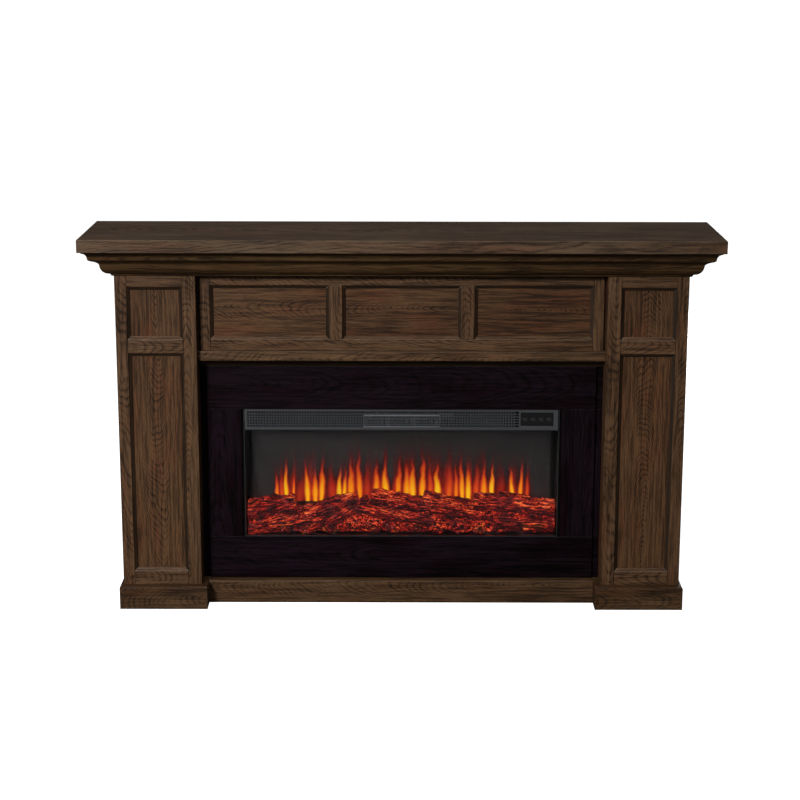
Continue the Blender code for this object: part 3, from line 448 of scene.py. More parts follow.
def oak(name, order, start, tone, taper):
    """A board's own oak. Order names the axes along, across and into it; start shifts it within the tree."""
    light, dark, red, highlight_colour, ring = TONES[tone]
    material = new_material(name)
    tree = material.node_tree
    shader = shader_of(material)
    place = add(tree, "ShaderNodeTexCoord").outputs["Object"]
    axes = add(tree, "ShaderNodeSeparateXYZ", {0: place}).outputs
    picked = [axes["XYZ".index(letter)] for letter in order]
    turned = add(tree, "ShaderNodeCombineXYZ", {0: picked[0], 1: picked[1], 2: picked[2]}).outputs[0]
    board = add(tree, "ShaderNodeVectorMath", {0: turned, 1: start}, operation="ADD").outputs["Vector"]
    colours = {"Light": (*light, 1), "Dark": (*dark, 1), "Red": (*red, 1)}
    grain = use_group(tree, OAK_GRAIN, {"Vector": board, "Ring Width": ring, "Taper": taper, **colours})
    edges = use_group(tree, EDGES, {"Radius": BEVEL_RADIUS})
    # The slanting faces in a frame's hollows round its panels are darkened here as painted shade, where the
    # recess lies in shadow.
    recess_shade = math_node(tree, "MULTIPLY", edges["Slant"], RECESS_SHADE if tone == "frame" else 0.0)
    glaze_and_shade = math_node(tree, "MAXIMUM", math_node(tree, "MULTIPLY", edges["Edge"], EDGE_GLAZE), recess_shade)
    glazed_and_shaded = blend_colours(tree, glaze_and_shade, grain["Color"], PORE_AND_SHADE_COLOUR)
    # Upward-facing arrises are lightened here as a painted highlight, where light from above glints on the
    # eased edge.
    highlighted = blend_colours(tree, math_node(tree, "MULTIPLY", edges["Painted Highlight"], ARRIS_HIGHLIGHT), glazed_and_shaded, (*highlight_colour, 1))
    tree.links.new(highlighted, shader.inputs["Base Color"])
    tree.links.new(math_node(tree, "ADD", grain["Roughness"], OAK_ROUGHNESS), shader.inputs["Roughness"])
    relief = {"Height": grain["Height"], "Strength": OAK_RELIEF, "Distance": 0.0006}
    bump = add(tree, "ShaderNodeBump", {**relief, "Normal": edges["Normal"]})
    tree.links.new(bump.outputs[0], shader.inputs["Normal"])
    shader.inputs["Specular IOR Level"].default_value = 0.04 if tone == "black" else 0.14
    return material


def finish_boards():
    """Gives every wooden node its own piece of the tree, with the grain along its length."""
    draw = random.Random(7)
    for name, obj in sorted(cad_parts.items()):
        if name not in BOARDS:
            continue
        order, tone = BOARDS[name]
        low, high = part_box(name)
        centre = (Vector(low) + Vector(high)) / 2
        letters = ["XYZ".index(letter) for letter in order]
        start = (
            draw.uniform(-0.25, 0.25) - centre[letters[0]],
            draw.uniform(-0.03, 0.03) - centre[letters[1]],
            draw.uniform(0.05, 0.09) - centre[letters[2]],
        )
        taper = draw.choice((-1, 1)) * draw.uniform(0.07, 0.13)
        if name in FIGURED:
            start = (-centre[letters[0]], -centre[letters[1]], 0.07 - centre[letters[2]])
            taper = FIGURED[name]
        wear(obj, oak(name + "_oak", order, start, tone, taper))


def list_boards():
    """The grain's direction and tone of every board."""
    boards = {
        "top_shelf": ("XYZ", "shelf"),
        "crown_front": ("XZY", "crown"),
        "crown_left": ("YZX", "crown"),
        "crown_right": ("YZX", "crown"),
        "crown_backer": ("XZY", "crown"),
        "header_top_rail": ("XZY", "frame"),
        "header_bottom_rail": ("XZY", "frame"),
        "header_panel": ("XZY", "panel"),
        "lintel": ("XZY", "frame"),
        "base_rail": ("XZY", "base"),
        "rear_stretcher": ("XZY", "board"),
        "hearth_board": ("XYZ", "board"),
        "surround_top": ("XZY", "black"),
        "surround_bottom": ("XZY", "black"),
        "surround_left": ("ZXY", "black"),
        "surround_right": ("ZXY", "black"),
    }
    for side in ("left", "right"):
        for upright in ("stile", "muntin"):
            boards[f"header_{side}_{upright}"] = ("ZXY", "frame")
        for stile in ("outer_stile", "inner_stile"):
            boards[f"{side}_{stile}"] = ("ZXY", "frame")
        for rail in ("top_rail", "mid_rail", "bottom_rail"):
            boards[f"{side}_{rail}"] = ("XZY", "frame")
        boards[f"{side}_plinth"] = ("XZY", "base")
        boards[f"{side}_panel"] = ("ZXY", "panel")
        boards[f"{side}_side_panel"] = ("ZYX", "panel")
        boards[f"{side}_inner_panel"] = ("ZYX", "panel")
    return boards


# ------------------------------------------------------------------ metal, plastic and glass


def speckle_group():
    """Fine mottling for paint, plastic and metal: a colour, a roughness and a height."""
    group, given, out = new_group(
        "speckle",
        [
            ("Vector", "NodeSocketVector", None),
            ("Color", "NodeSocketColor", (0.5, 0.5, 0.5, 1)),
            ("Scale", "NodeSocketFloat", 400.0),
            ("Variation", "NodeSocketFloat", 0.2),
            ("Roughness", "NodeSocketFloat", 0.5),
        ],
        [("Color", "NodeSocketColor"), ("Roughness", "NodeSocketFloat"), ("Height", "NodeSocketFloat")],
    )
    fine = noise(group, given["Vector"], given["Scale"], 3.0, 0.6)
    broad = noise(group, given["Vector"], 14.0, 3.0, 0.5)
    mixed = math_node(group, "MULTIPLY", math_node(group, "ADD", fine, broad), 0.5)
    amount = math_node(group, "MULTIPLY", math_node(group, "SUBTRACT", mixed, 0.5), given["Variation"])
    value = math_node(group, "ADD", 1.0, amount)
    tint = add(group, "ShaderNodeHueSaturation", {"Value": value, "Color": given["Color"]})
    group.links.new(tint.outputs["Color"], out["Color"])
    rough = math_node(group, "ADD", given["Roughness"], math_node(group, "MULTIPLY", amount, 0.3))
    group.links.new(rough, out["Roughness"])
    group.links.new(fine, out["Height"])
    return group


def coated(name, colour, roughness, metallic, scale, variation, relief, brushed=(1, 1, 1)):
    """Paint, plastic or metal with fine mottling, drawn out along an axis where it is brushed."""
    material = new_material(name)
    tree = material.node_tree
    shader = shader_of(material)
    place = add(tree, "ShaderNodeTexCoord").outputs["Object"]
    place = stretched(tree, place, brushed)
    surface = {"Scale": scale, "Variation": variation, "Roughness": roughness}
    look = use_group(tree, SPECKLE, {"Vector": place, "Color": (*colour, 1), **surface})
    tree.links.new(look["Color"], shader.inputs["Base Color"])
    tree.links.new(look["Roughness"], shader.inputs["Roughness"])
    shader.inputs["Metallic"].default_value = metallic
    bump = add(tree, "ShaderNodeBump", {"Height": look["Height"], "Strength": relief, "Distance": 0.0002})
    tree.links.new(bump.outputs[0], shader.inputs["Normal"])
    return material


def window_glass():
    """Thin clear glass with faint smears."""
    material = new_material("window_glass")
    tree = material.node_tree
    shader = shader_of(material)
    place = add(tree, "ShaderNodeTexCoord").outputs["Object"]
    smears = noise(tree, place, 9.0, 3.0)
    tree.links.new(remap(tree, smears, 0.3, 0.8, 0.0, 0.03), shader.inputs["Roughness"])
    shader.inputs["Base Color"].default_value = (0.93, 0.93, 0.93, 1)
    shader.inputs["Transmission Weight"].default_value = 1.0
    shader.inputs["IOR"].default_value = 1.2
    return material


def finish_hardware():
    """Gives every node that isn't wood its paint, plastic, metal or glass."""
    black_steel = coated("black_steel_paint", (0.006, 0.006, 0.0065), 0.6, 0.0, 900.0, 0.5, 0.25)
    gloss_black = coated("gloss_black_plastic", (0.0032, 0.0032, 0.0036), 0.2, 0.0, 60.0, 0.2, 0.01)
    matt_black = coated("matt_black_plastic", (0.013, 0.013, 0.014), 0.6, 0.0, 1200.0, 0.3, 0.3)
    button_black = coated("button_black_rubber", (0.0068, 0.0068, 0.0074), 0.45, 0.0, 900.0, 0.3, 0.1)
    zinc = coated("zinc_sheet", (0.45, 0.46, 0.47), 0.38, 1.0, 120.0, 0.5, 0.05)
    bright = coated("bright_aluminium", (0.72, 0.73, 0.75), 0.28, 1.0, 300.0, 0.2, 0.05, (0.05, 1, 1))
    circuit = coated("circuit_board_green", (0.004, 0.022, 0.010), 0.4, 0.0, 300.0, 0.5, 0.1)
    strip = coated("light_strip_black", (0.010, 0.010, 0.011), 0.5, 0.0, 300.0, 0.5, 0.1)
    looks = {
        "firebox_housing": black_steel,
        "vent_grille": black_steel,
        "outlet_louvre": black_steel,
        "control_panel": gloss_black,
        "rocker_switch": gloss_black,
        "power_inlet": matt_black,
        "blower_housing": zinc,
        "blower_motor": zinc,
        "spindle_motor": zinc,
        "heater_element": zinc,
        "blower_wheel": bright,
        "flame_spindle": bright,
        "control_board": circuit,
        "led_strip": strip,
        "ember_led_strip": strip,
        "front_glass": window_glass(),
        "flame_screen": coated("screen_grey", (0.028, 0.0235, 0.0235), 0.55, 0.0, 600.0, 0.2, 0.05),
    }
    for name in ("power_button", "flame_button", "heat_button", "timer_button"):
        looks[name] = button_black
    for name, material in looks.items():
        wear(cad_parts[name], material)


# ------------------------------------------------------------------ the ember bed and its logs


# Each log: its two ends as inches across, back and up; its radius at each end; how hot its cracks are.
LOGS = (
    ((-19.6, 8.95, 10.65), (-12.9, 8.9, 11.75), 1.35, 1.3, 0.8),
    ((-19.6, 8.55, 8.5), (-9.6, 8.5, 10.3), 1.0, 0.95, 0.95),
    ((-16.2, 8.8, 9.5), (-5.2, 8.95, 12.2), 1.1, 1.15, 0.85),
    ((-12.2, 8.4, 8.4), (-3.9, 8.7, 12.2), 0.75, 0.9, 0.5),
    ((-3.8, 8.85, 12.65), (9.6, 8.75, 10.7), 1.1, 1.1, 0.9),
    ((-5.6, 8.4, 11.5), (4.2, 8.25, 9.8), 0.75, 0.8, 0.8),
    ((2.6, 9.2, 12.4), (10.2, 9.0, 10.8), 1.1, 1.15, 0.6),
    ((8.8, 8.6, 12.1), (19.6, 8.8, 11.3), 1.15, 1.15, 0.9),
    ((11.9, 9.25, 12.45), (16.6, 9.2, 11.9), 0.85, 0.75, 0.7),
    ((11.3, 8.35, 9.5), (19.6, 8.55, 9.25), 0.9, 0.95, 0.75),
)

# Each coal: its centre in inches, its radius and how hot its cracks are.
COALS = (
    ((-5.9, 8.3, 9.35), 0.85, 0.9),
    ((-3.3, 8.25, 9.2), 0.95, 1.0),
    ((-8.6, 8.2, 9.0), 0.75, 0.9),
    ((-0.9, 8.2, 9.1), 0.85, 0.8),
    ((1.7, 8.15, 9.1), 0.8, 0.75),
    ((3.0, 8.15, 11.05), 0.48, 1.6),
    ((1.15, 8.1, 10.5), 0.34, 1.6),
    ((4.6, 8.15, 9.0), 0.85, 0.9),
    ((7.0, 8.2, 9.15), 0.95, 0.9),
    ((9.5, 8.2, 9.05), 0.85, 0.8),
    ((-11.2, 8.1, 8.9), 0.62, 0.9),
    ((-14.2, 8.1, 8.8), 0.6, 0.9),
    ((-17.2, 8.1, 8.8), 0.6, 0.8),
    ((6.0, 8.5, 10.6), 0.7, 0.35),
    ((-1.6, 8.3, 10.6), 0.5, 0.9),
)


def start_piece():
    """A new piece is begun with nothing selected."""
    bpy.ops.object.select_all(action="DESELECT")


def inch_point(across, deep, high):
    """A point given in inches: across from the middle, back from the shelf's front edge, and up."""
    return Vector((across * INCH, (deep - FRONT_EDGE) * INCH, high * INCH))


def join_pieces(pieces, name):
    """One object of several, with its origin at the world's and its place in the mesh."""
    start_piece()
    for piece in pieces:
        piece.select_set(True)
    bpy.context.view_layer.objects.active = pieces[0]
    bpy.ops.object.join()
    joined = bpy.context.object
    joined.name = name
    bpy.ops.object.transform_apply(location=True, rotation=True, scale=True)
    return joined


def trim(obj, point, normal):
    """Cuts away what lies on the normal's side of a plane and closes the cut."""
    start_piece()
    obj.select_set(True)
    bpy.context.view_layer.objects.active = obj
    bpy.ops.object.mode_set(mode="EDIT")
    bpy.ops.mesh.select_all(action="SELECT")
    bpy.ops.mesh.bisect(plane_co=point, plane_no=normal, use_fill=True, clear_outer=True)
    bpy.ops.mesh.select_all(action="DESELECT")
    bpy.ops.object.mode_set(mode="OBJECT")


def voronoi_at(spot):
    """The distances to the nearest and the next nearest cell centre."""
    return voronoi(spot)[0][:2]


def smooth_step(value, low, high):
    """0 below low, 1 above high, and an easy curve between."""
    t = min(max((value - low) / (high - low), 0.0), 1.0)
    return t * t * (3 - 2 * t)


def set_glow(obj, heat, grain):
    """Stores how hot each point is, less the painted shade on it, and where it lies along, and round, its
    own log.
    """
    obj.data.attributes.new("heat", "FLOAT", "POINT").data.foreach_set("value", heat)
    flat = [value for spot in grain for value in spot]
    obj.data.attributes.new("grain", "FLOAT_VECTOR", "POINT").data.foreach_set("vector", flat)


def bark(along, round_log, out, seed):
    """How deep the bark is cracked at a point of a log, from 0 on a ridge to 1 in a crack."""
    twist = turbulence(Vector((along * 0.35, round_log * 0.8, out * 0.8 + seed)), 2, False) * 1.1
    coarse = abs(noise_at(Vector((along * 0.34, round_log * 1.5 + twist, out * 1.5 + seed))))
    fine = abs(noise_at(Vector((along * 0.8, round_log * 3.4 + twist * 2, out * 3.4 - seed))))
    cross = abs(noise_at(Vector((along * 1.7, round_log * 1.9, out * 1.9 + seed * 2))))
    deep = 1 - smooth_step(coarse, 0.0, 0.13)
    shallow = 1 - smooth_step(fine, 0.0, 0.16)
    return max(deep, 0.7 * shallow, 0.55 * (1 - smooth_step(cross, 0.0, 0.07)))


def seam_between(spot, own):
    """How close a point of one log comes to another log, from 0 in the open to 1 in the seam."""
    closest = 0.0
    for index, (start, end, radius, tip_radius, _) in enumerate(LOGS):
        if index == own:
            continue
        start = Vector(start)
        line = Vector(end) - start
        t = min(max((spot - start).dot(line) / line.length_squared, 0.0), 1.0)
        away = (spot - start - line * t).length - (radius + (tip_radius - radius) * t)
        closest = max(closest, 1 - smooth_step(abs(away), 0.1, 0.42))
    return closest


def make_log(own, seed):
    """A log between two points, tapered and slightly crooked, with cracked bark."""
    start, end, radius, tip_radius, glow = LOGS[own]
    start, end = Vector(start), Vector(end)
    start_piece()
    bpy.ops.curve.primitive_nurbs_path_add()
    path = bpy.context.object
    curve = path.data
    curve.splines.clear()
    spline = curve.splines.new("POLY")
    count = max(int((end - start).length / LOG_STEP), 8)
    spline.points.add(count)
    for index in range(count + 1):
        t = index / count
        wander = Vector((0, 0, 1)) * 0.16 * noise_at(Vector((t * 3.1, seed, 0.5)))
        wander += Vector((0, 1, 0)) * 0.12 * noise_at(Vector((t * 2.3, seed, 7.5)))
        spline.points[index].co = (*(inch_point(*(start.lerp(end, t) + wander))), 1)
        swell = 1 + 0.09 * noise_at(Vector((t * 4.0, seed, 3.5)))
        spline.points[index].radius = (radius + (tip_radius - radius) * t) * swell
    curve.dimensions = "3D"
    curve.bevel_depth = INCH
    curve.bevel_resolution = LOG_SIDES
    curve.use_fill_caps = True
    bpy.ops.object.convert(target="MESH")
    log = bpy.context.object
    bpy.ops.object.mode_set(mode="EDIT")
    bpy.ops.mesh.select_all(action="SELECT")
    bpy.ops.mesh.remove_doubles(threshold=0.0001)
    bpy.ops.mesh.normals_make_consistent(inside=False)
    bpy.ops.object.mode_set(mode="OBJECT")
    low, far = inch_point(*start), inch_point(*end)
    axis = (far - low).normalized()
    side = axis.cross(Vector((0, 1, 0))).normalized()
    back = axis.cross(side)
    length = (far - low).length / INCH
    heat = []
    grain = []
    for vertex in log.data.vertices:
        offset = (vertex.co - low) / INCH
        along = offset.dot(axis)
        outward = Vector((offset.dot(side), offset.dot(back), 0))
        reach = max(outward.length, 0.001)
        turn = outward / reach
        crack = bark(along, turn.x * radius * 1.2, turn.y * radius * 1.2, seed)
        on_end = along < END_BAND or along > length - END_BAND
        if on_end:
            rings = 0.5 + 0.5 * math.sin(offset.z * 21 + 3 * noise_at(offset * 0.9))
            crack = smooth_step(rings, 0.55, 0.95) * 0.8
            vertex.co -= axis * crack * 0.05 * INCH * (1 if along > 1 else -1)
        else:
            lumps = noise_at(Vector((along * 0.5, turn.x * 1.3, turn.y * 1.3 + seed)))
            knobs = noise_at(Vector((along * 1.5, turn.x * 2.1, turn.y * 2.1 - seed)))
            push = (side * turn.x + back * turn.y) * (lumps * 0.24 + knobs * 0.13 - crack * 0.2) * radius
            vertex.co += push * INCH
        place = vertex.co / INCH + Vector((0, FRONT_EDGE, 0))
        # The seams where logs meet get painted shade, by lowering their stored heat; duller logs are
        # darkened all over.
        shade = max(SEAM_SHADE * seam_between(place, own), DULL_SHADE * (1 - glow))
        heat.append(min(crack * glow, 1.0) - shade)
        grain.append((along * 0.9, turn.x * radius * 3.2 + seed, turn.y * radius * 3.2))
    set_glow(log, heat, grain)
    return log


def make_lump(centre, radius, seed, glow):
    """A round coal with a split crust."""
    start_piece()
    steps = 6 if radius > 0.9 else 5
    bpy.ops.mesh.primitive_ico_sphere_add(subdivisions=steps, radius=1, location=(0, 0, 0))
    lump = bpy.context.object
    middle = Vector(centre)
    heat = []
    grain = []
    for vertex in lump.data.vertices:
        spot = vertex.co.copy()
        crust = turbulence(spot * 1.4 + Vector((seed, 0, 0)), 4, False) * 0.22
        split = 1 - smooth_step(abs(noise_at(spot * 1.7 + Vector((0, seed, 0)))), 0.0, 0.14)
        fine = 1 - smooth_step(abs(noise_at(spot * 4.0 + Vector((0, 0, seed)))), 0.0, 0.16)
        crack = max(split, 0.3 * fine)
        size = radius * (1 + crust - 0.09 * crack)
        vertex.co = inch_point(*(middle + Vector((spot.x * 1.15, spot.y * 0.8, spot.z)) * size))
        # The underside of each coal gets painted shade: its glow is lowered where it faces down.
        underside_shade = smooth_step(-spot.z, 0.1, 0.8)
        heat.append(min(crack * glow, 1.0) - 0.6 * underside_shade)
        grain.append(spot * radius * 2.4 + Vector((seed, 0, seed)))
    set_glow(lump, heat, grain)
    return lump


def make_bank():
    """The bank of small coals behind and between the logs."""
    start_piece()
    bpy.ops.mesh.primitive_cube_add(size=1, location=(0, 0, 0))
    bank = bpy.context.object
    bpy.ops.object.mode_set(mode="EDIT")
    bpy.ops.mesh.select_all(action="SELECT")
    bpy.ops.transform.resize(value=[size * INCH for size in BANK_SIZE])
    bpy.ops.object.mode_set(mode="OBJECT")
    grow = bank.modifiers.new("coals", "REMESH")
    grow.mode = "VOXEL"
    grow.voxel_size = COAL_VOXEL
    bpy.ops.object.modifier_apply(modifier="coals")
    middle = inch_point(*BANK_MIDDLE)
    heat = []
    grain = []
    for vertex in bank.data.vertices:
        spot = (vertex.co + middle) / INCH
        cells = voronoi_at(spot * Vector((0.8, 0.8, 0.9)))
        gap = 1 - smooth_step(cells[1] - cells[0], 0.0, 0.22)
        out = (vertex.co * Vector((0.04, 1, 1))).normalized()
        lump = 0.22 * noise_at(spot * 0.6) - 0.16 * gap
        vertex.co = vertex.co + out * lump * INCH + middle
        heat.append(gap * 0.75 - 0.45)
        grain.append(spot * 2.0)
    set_glow(bank, heat, grain)
    return bank


def trim_to_bed(piece):
    """Cuts a log or coal off flat where it reaches past the bed's box."""
    low, high = (Vector(corner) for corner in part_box("log_set"))
    spread = [piece.matrix_world @ Vector(corner) for corner in piece.bound_box]
    for axis in range(3):
        away = Vector((0, 0, 0))
        away[axis] = 1
        if max(corner[axis] for corner in spread) > high[axis] - BED_MARGIN:
            trim(piece, high - away * BED_MARGIN, away)
        if min(corner[axis] for corner in spread) < low[axis] + BED_MARGIN:
            trim(piece, low + away * BED_MARGIN, -away)


def make_ember_bed():
    """The logs and the coals round them, each joined to one piece of glowing resin."""
    logs = [make_log(index, index * 7.3 + 1.1) for index in range(len(LOGS))]
    coals = []
    for index, (centre, radius, glow) in enumerate(COALS):
        coals.append(make_lump(centre, radius, index * 3.7 + 0.4, glow))
    coals.append(make_bank())
    for piece in logs + coals:
        trim_to_bed(piece)
    for name, pieces in (("ember_logs", logs), ("ember_coals", coals)):
        joined = join_pieces(pieces, name)
        bpy.ops.object.shade_smooth()
        wear(joined, EMBER)
        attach(joined, ROOT)
        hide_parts("log_set")


def ember_material():
    """Charred resin bark, lit from inside: dark crust, red where it is thin, and orange in the cracks."""
    material = new_material("glowing_ember_resin")
    tree = material.node_tree
    shader = shader_of(material)
    place = add(tree, "ShaderNodeTexCoord").outputs["Object"]
    heat = add(tree, "ShaderNodeAttribute", attribute_name="heat").outputs["Fac"]
    grain = add(tree, "ShaderNodeAttribute", attribute_name="grain").outputs["Vector"]
    grit = noise(tree, place, 330.0, 4.0, 0.75)
    veins = noise(tree, stretched(tree, grain, (0.8, 1.1, 1.1)), 1.0, 5.0, 0.72)
    lines = noise(tree, stretched(tree, grain, (0.85, 3.0, 3.0)), 1.0, 3.0, 0.7)
    patches = noise(tree, place, 22.0, 3.0, 0.55)
    glow = math_node(tree, "MAXIMUM", heat, 0.0)
    glow = math_node(tree, "MULTIPLY", glow, remap(tree, patches, 0.33, 0.62, 0.5, 1.0))
    glow = math_node(tree, "ADD", glow, remap(tree, veins, 0.44, 0.64, -0.05, 0.42))
    glow = math_node(tree, "ADD", glow, remap(tree, lines, 0.44, 0.64, -0.14, 0.42))
    glow = math_node(tree, "ADD", glow, remap(tree, grit, 0.35, 0.7, -0.2, 0.25))
    cool = noise(tree, stretched(tree, place, (11.0, 11.0, 18.0)), 1.0, 2.0)
    glow = math_node(tree, "MULTIPLY", glow, remap(tree, cool, 0.38, 0.54, 0.5, 1.15))
    # Below zero, the stored heat lowers the glow: the painted shade in the seams and under the coals, the
    # duller logs and the dim bank of coals.
    glow = math_node(tree, "MULTIPLY", glow, remap(tree, heat, -0.7, 0.0, 0.06, 1.0))
    # Painted shade: the glow is lowered where the surface faces down, so each log looks lit from above, and
    # at grazing angles, so each log gets a dark outline.
    normal = add(tree, "ShaderNodeNewGeometry").outputs["Normal"]
    facing = add(tree, "ShaderNodeSeparateXYZ", {0: normal}).outputs[2]
    glow = math_node(tree, "MULTIPLY", glow, remap(tree, facing, -0.7, 0.4, 0.25, 1.2))
    rim = add(tree, "ShaderNodeLayerWeight", {"Blend": 0.5}).outputs["Facing"]
    glow = math_node(tree, "MULTIPLY", glow, remap(tree, rim, 0.55, 0.95, 1.0, 0.15), clamp=True)
    ramp = tree.nodes.new("ShaderNodeValToRGB")
    tree.links.new(glow, ramp.inputs[0])
    stops = ramp.color_ramp.elements
    stops[0].color = (0.004, 0.002, 0.002, 1)
    stops[1].color = (1.0, 0.28, 0.055, 1)
    stops.new(0.08).color = (0.046, 0.003, 0.004, 1)
    stops.new(0.30).color = (0.31, 0.008, 0.006, 1)
    stops.new(0.60).color = (0.86, 0.050, 0.012, 1)
    low = add(tree, "ShaderNodeSeparateXYZ", {0: place}).outputs[2]
    amber = math_node(tree, "MULTIPLY", remap(tree, low, 0.265, 0.225), remap(tree, patches, 0.52, 0.66))
    gilding = math_node(tree, "MULTIPLY", amber, 0.8)
    golden = blend_colours(tree, gilding, ramp.outputs[0], (0.75, 0.28, 0.02, 1))
    lit = blend_colours(tree, math_node(tree, "MULTIPLY", glow, amber), ramp.outputs[0], golden)
    tree.links.new(lit, shader.inputs["Emission Color"])
    shader.inputs["Emission Strength"].default_value = 1.0
    crust = blend_colours(tree, grit, (0.004, 0.003, 0.003, 1), (0.026, 0.015, 0.017, 1))
    tree.links.new(crust, shader.inputs["Base Color"])
    tree.links.new(remap(tree, grit, 0.2, 0.8, 0.55, 0.85), shader.inputs["Roughness"])
    shader.inputs["Specular IOR Level"].default_value = 0.12
    bump = add(tree, "ShaderNodeBump", {"Height": grit, "Strength": 0.5, "Distance": 0.001})
    tree.links.new(bump.outputs[0], shader.inputs["Normal"])
    return material


# ------------------------------------------------------------------ the flames


# Each tongue: inches across, the height of its tip, its half width, its lean and how yellow it burns.
TONGUES = (
    (-15.45, 15.4, 0.42, 0.05, 0.55),
    (-14.8, 16.2, 0.4, 0.1, 0.35),
    (-14.2, 17.4, 0.5, 0.05, 1.0),
    (-13.3, 15.3, 0.3, 0.05, 0.6),
    (-12.6, 15.6, 0.8, 0.3, 0.2),
    (-11.65, 17.3, 0.62, -0.05, 0.9),
    (-10.55, 16.2, 0.65, -0.2, 0.75),
    (-9.85, 17.0, 0.6, 0.45, 0.8),
    (-8.6, 16.5, 0.9, 0.1, 0.2),
    (-7.65, 16.2, 0.55, 0.15, 1.1),
    (-7.0, 16.0, 0.45, 0.0, 0.9),
    (-6.3, 18.2, 0.75, 0.05, 0.7),
    (-5.15, 18.9, 0.6, -0.1, 0.65),
    (-4.2, 17.5, 0.7, 0.1, 0.25),
    (-3.2, 17.2, 0.7, 0.3, 0.7),
    (-1.95, 17.8, 0.75, -0.15, 0.95),
    (-0.4, 18.1, 0.6, 0.25, 0.6),
    (0.6, 17.6, 0.8, 0.1, 0.75),
    (1.45, 17.9, 0.7, -0.2, 0.95),
    (2.6, 18.6, 0.7, -0.3, 0.8),
    (3.5, 17.0, 0.6, 0.2, 0.4),
    (4.5, 16.9, 0.72, 0.1, 1.1),
    (5.9, 17.2, 0.7, 0.05, 0.4),
    (6.7, 17.0, 0.5, 0.2, 0.55),
    (7.5, 18.0, 0.55, -0.2, 0.8),
    (8.35, 17.0, 0.62, -0.5, 1.05),
    (9.2, 17.0, 0.6, 0.3, 0.4),
    (10.1, 17.2, 0.7, 0.2, 0.7),
    (11.2, 17.1, 0.5, 0.25, 1.05),
    (12.3, 16.0, 0.7, 0.1, 0.2),
    (13.65, 16.3, 0.48, -0.35, 1.0),
    (14.75, 17.0, 0.45, 0.05, 0.7),
    (15.5, 15.8, 0.35, 0.05, 0.35),
)


def make_tongue(across, base, tip, width, lean, warmth, deep):
    """One tongue of flame: a narrow leaf that widens just above its base and draws out to its tip."""
    start_piece()
    bpy.ops.mesh.primitive_grid_add(x_subdivisions=6, y_subdivisions=24, size=1, calc_uvs=True)
    tongue = bpy.context.object
    for vertex in tongue.data.vertices:
        side, up = vertex.co.x, vertex.co.y + 0.5
        body = (0.72 + 0.28 * smooth_step(up, 0.0, 0.18)) * (1 - 0.86 * smooth_step(up, 0.15, 1.0))
        drift = lean * up * up + 0.12 * width * math.sin(up * 5 + across * 2)
        vertex.co = inch_point(across + side * width * body * 2 + drift, deep, base + (tip - base) * up)
    layer = tongue.data.attributes.new("warmth", "FLOAT", "POINT")
    layer.data.foreach_set("value", [warmth] * len(tongue.data.vertices))
    return tongue


def make_flames():
    """A faint row of tall flames at the back and the bright tongues in front of it."""
    draw = random.Random(11)
    tongues = []
    for index in range(BACK_FLAMES):
        across = BACK_FLAME_START + index * BACK_FLAME_STEP + draw.uniform(-0.25, 0.25)
        height = BACK_FLAME_PEAK - abs(across - 1) * BACK_FLAME_FALL + draw.uniform(-3.0, 1.6)
        width = draw.uniform(0.35, 1.0)
        warmth = draw.uniform(0.0, 0.3)
        lean = draw.uniform(-0.3, 0.3)
        tip = min(height, FLAME_TOP)
        tongues.append(make_tongue(across, BACK_FLAME_FOOT, tip, width, lean, warmth, BACK_FLAME_DEPTH))
    for index, (across, height, width, lean, warmth) in enumerate(TONGUES):
        deep = FLAME_DEPTH + FLAME_LAYER * (index % FLAME_LAYERS)
        tip = min(height + EXTRA_HEIGHT, FLAME_TOP)
        tongues.append(make_tongue(across, FLAME_FOOT, tip, width * EXTRA_WIDTH, lean, warmth, deep))
    flames = join_pieces(tongues, "flames")
    wear(flames, flame_material())
    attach(flames, ROOT)


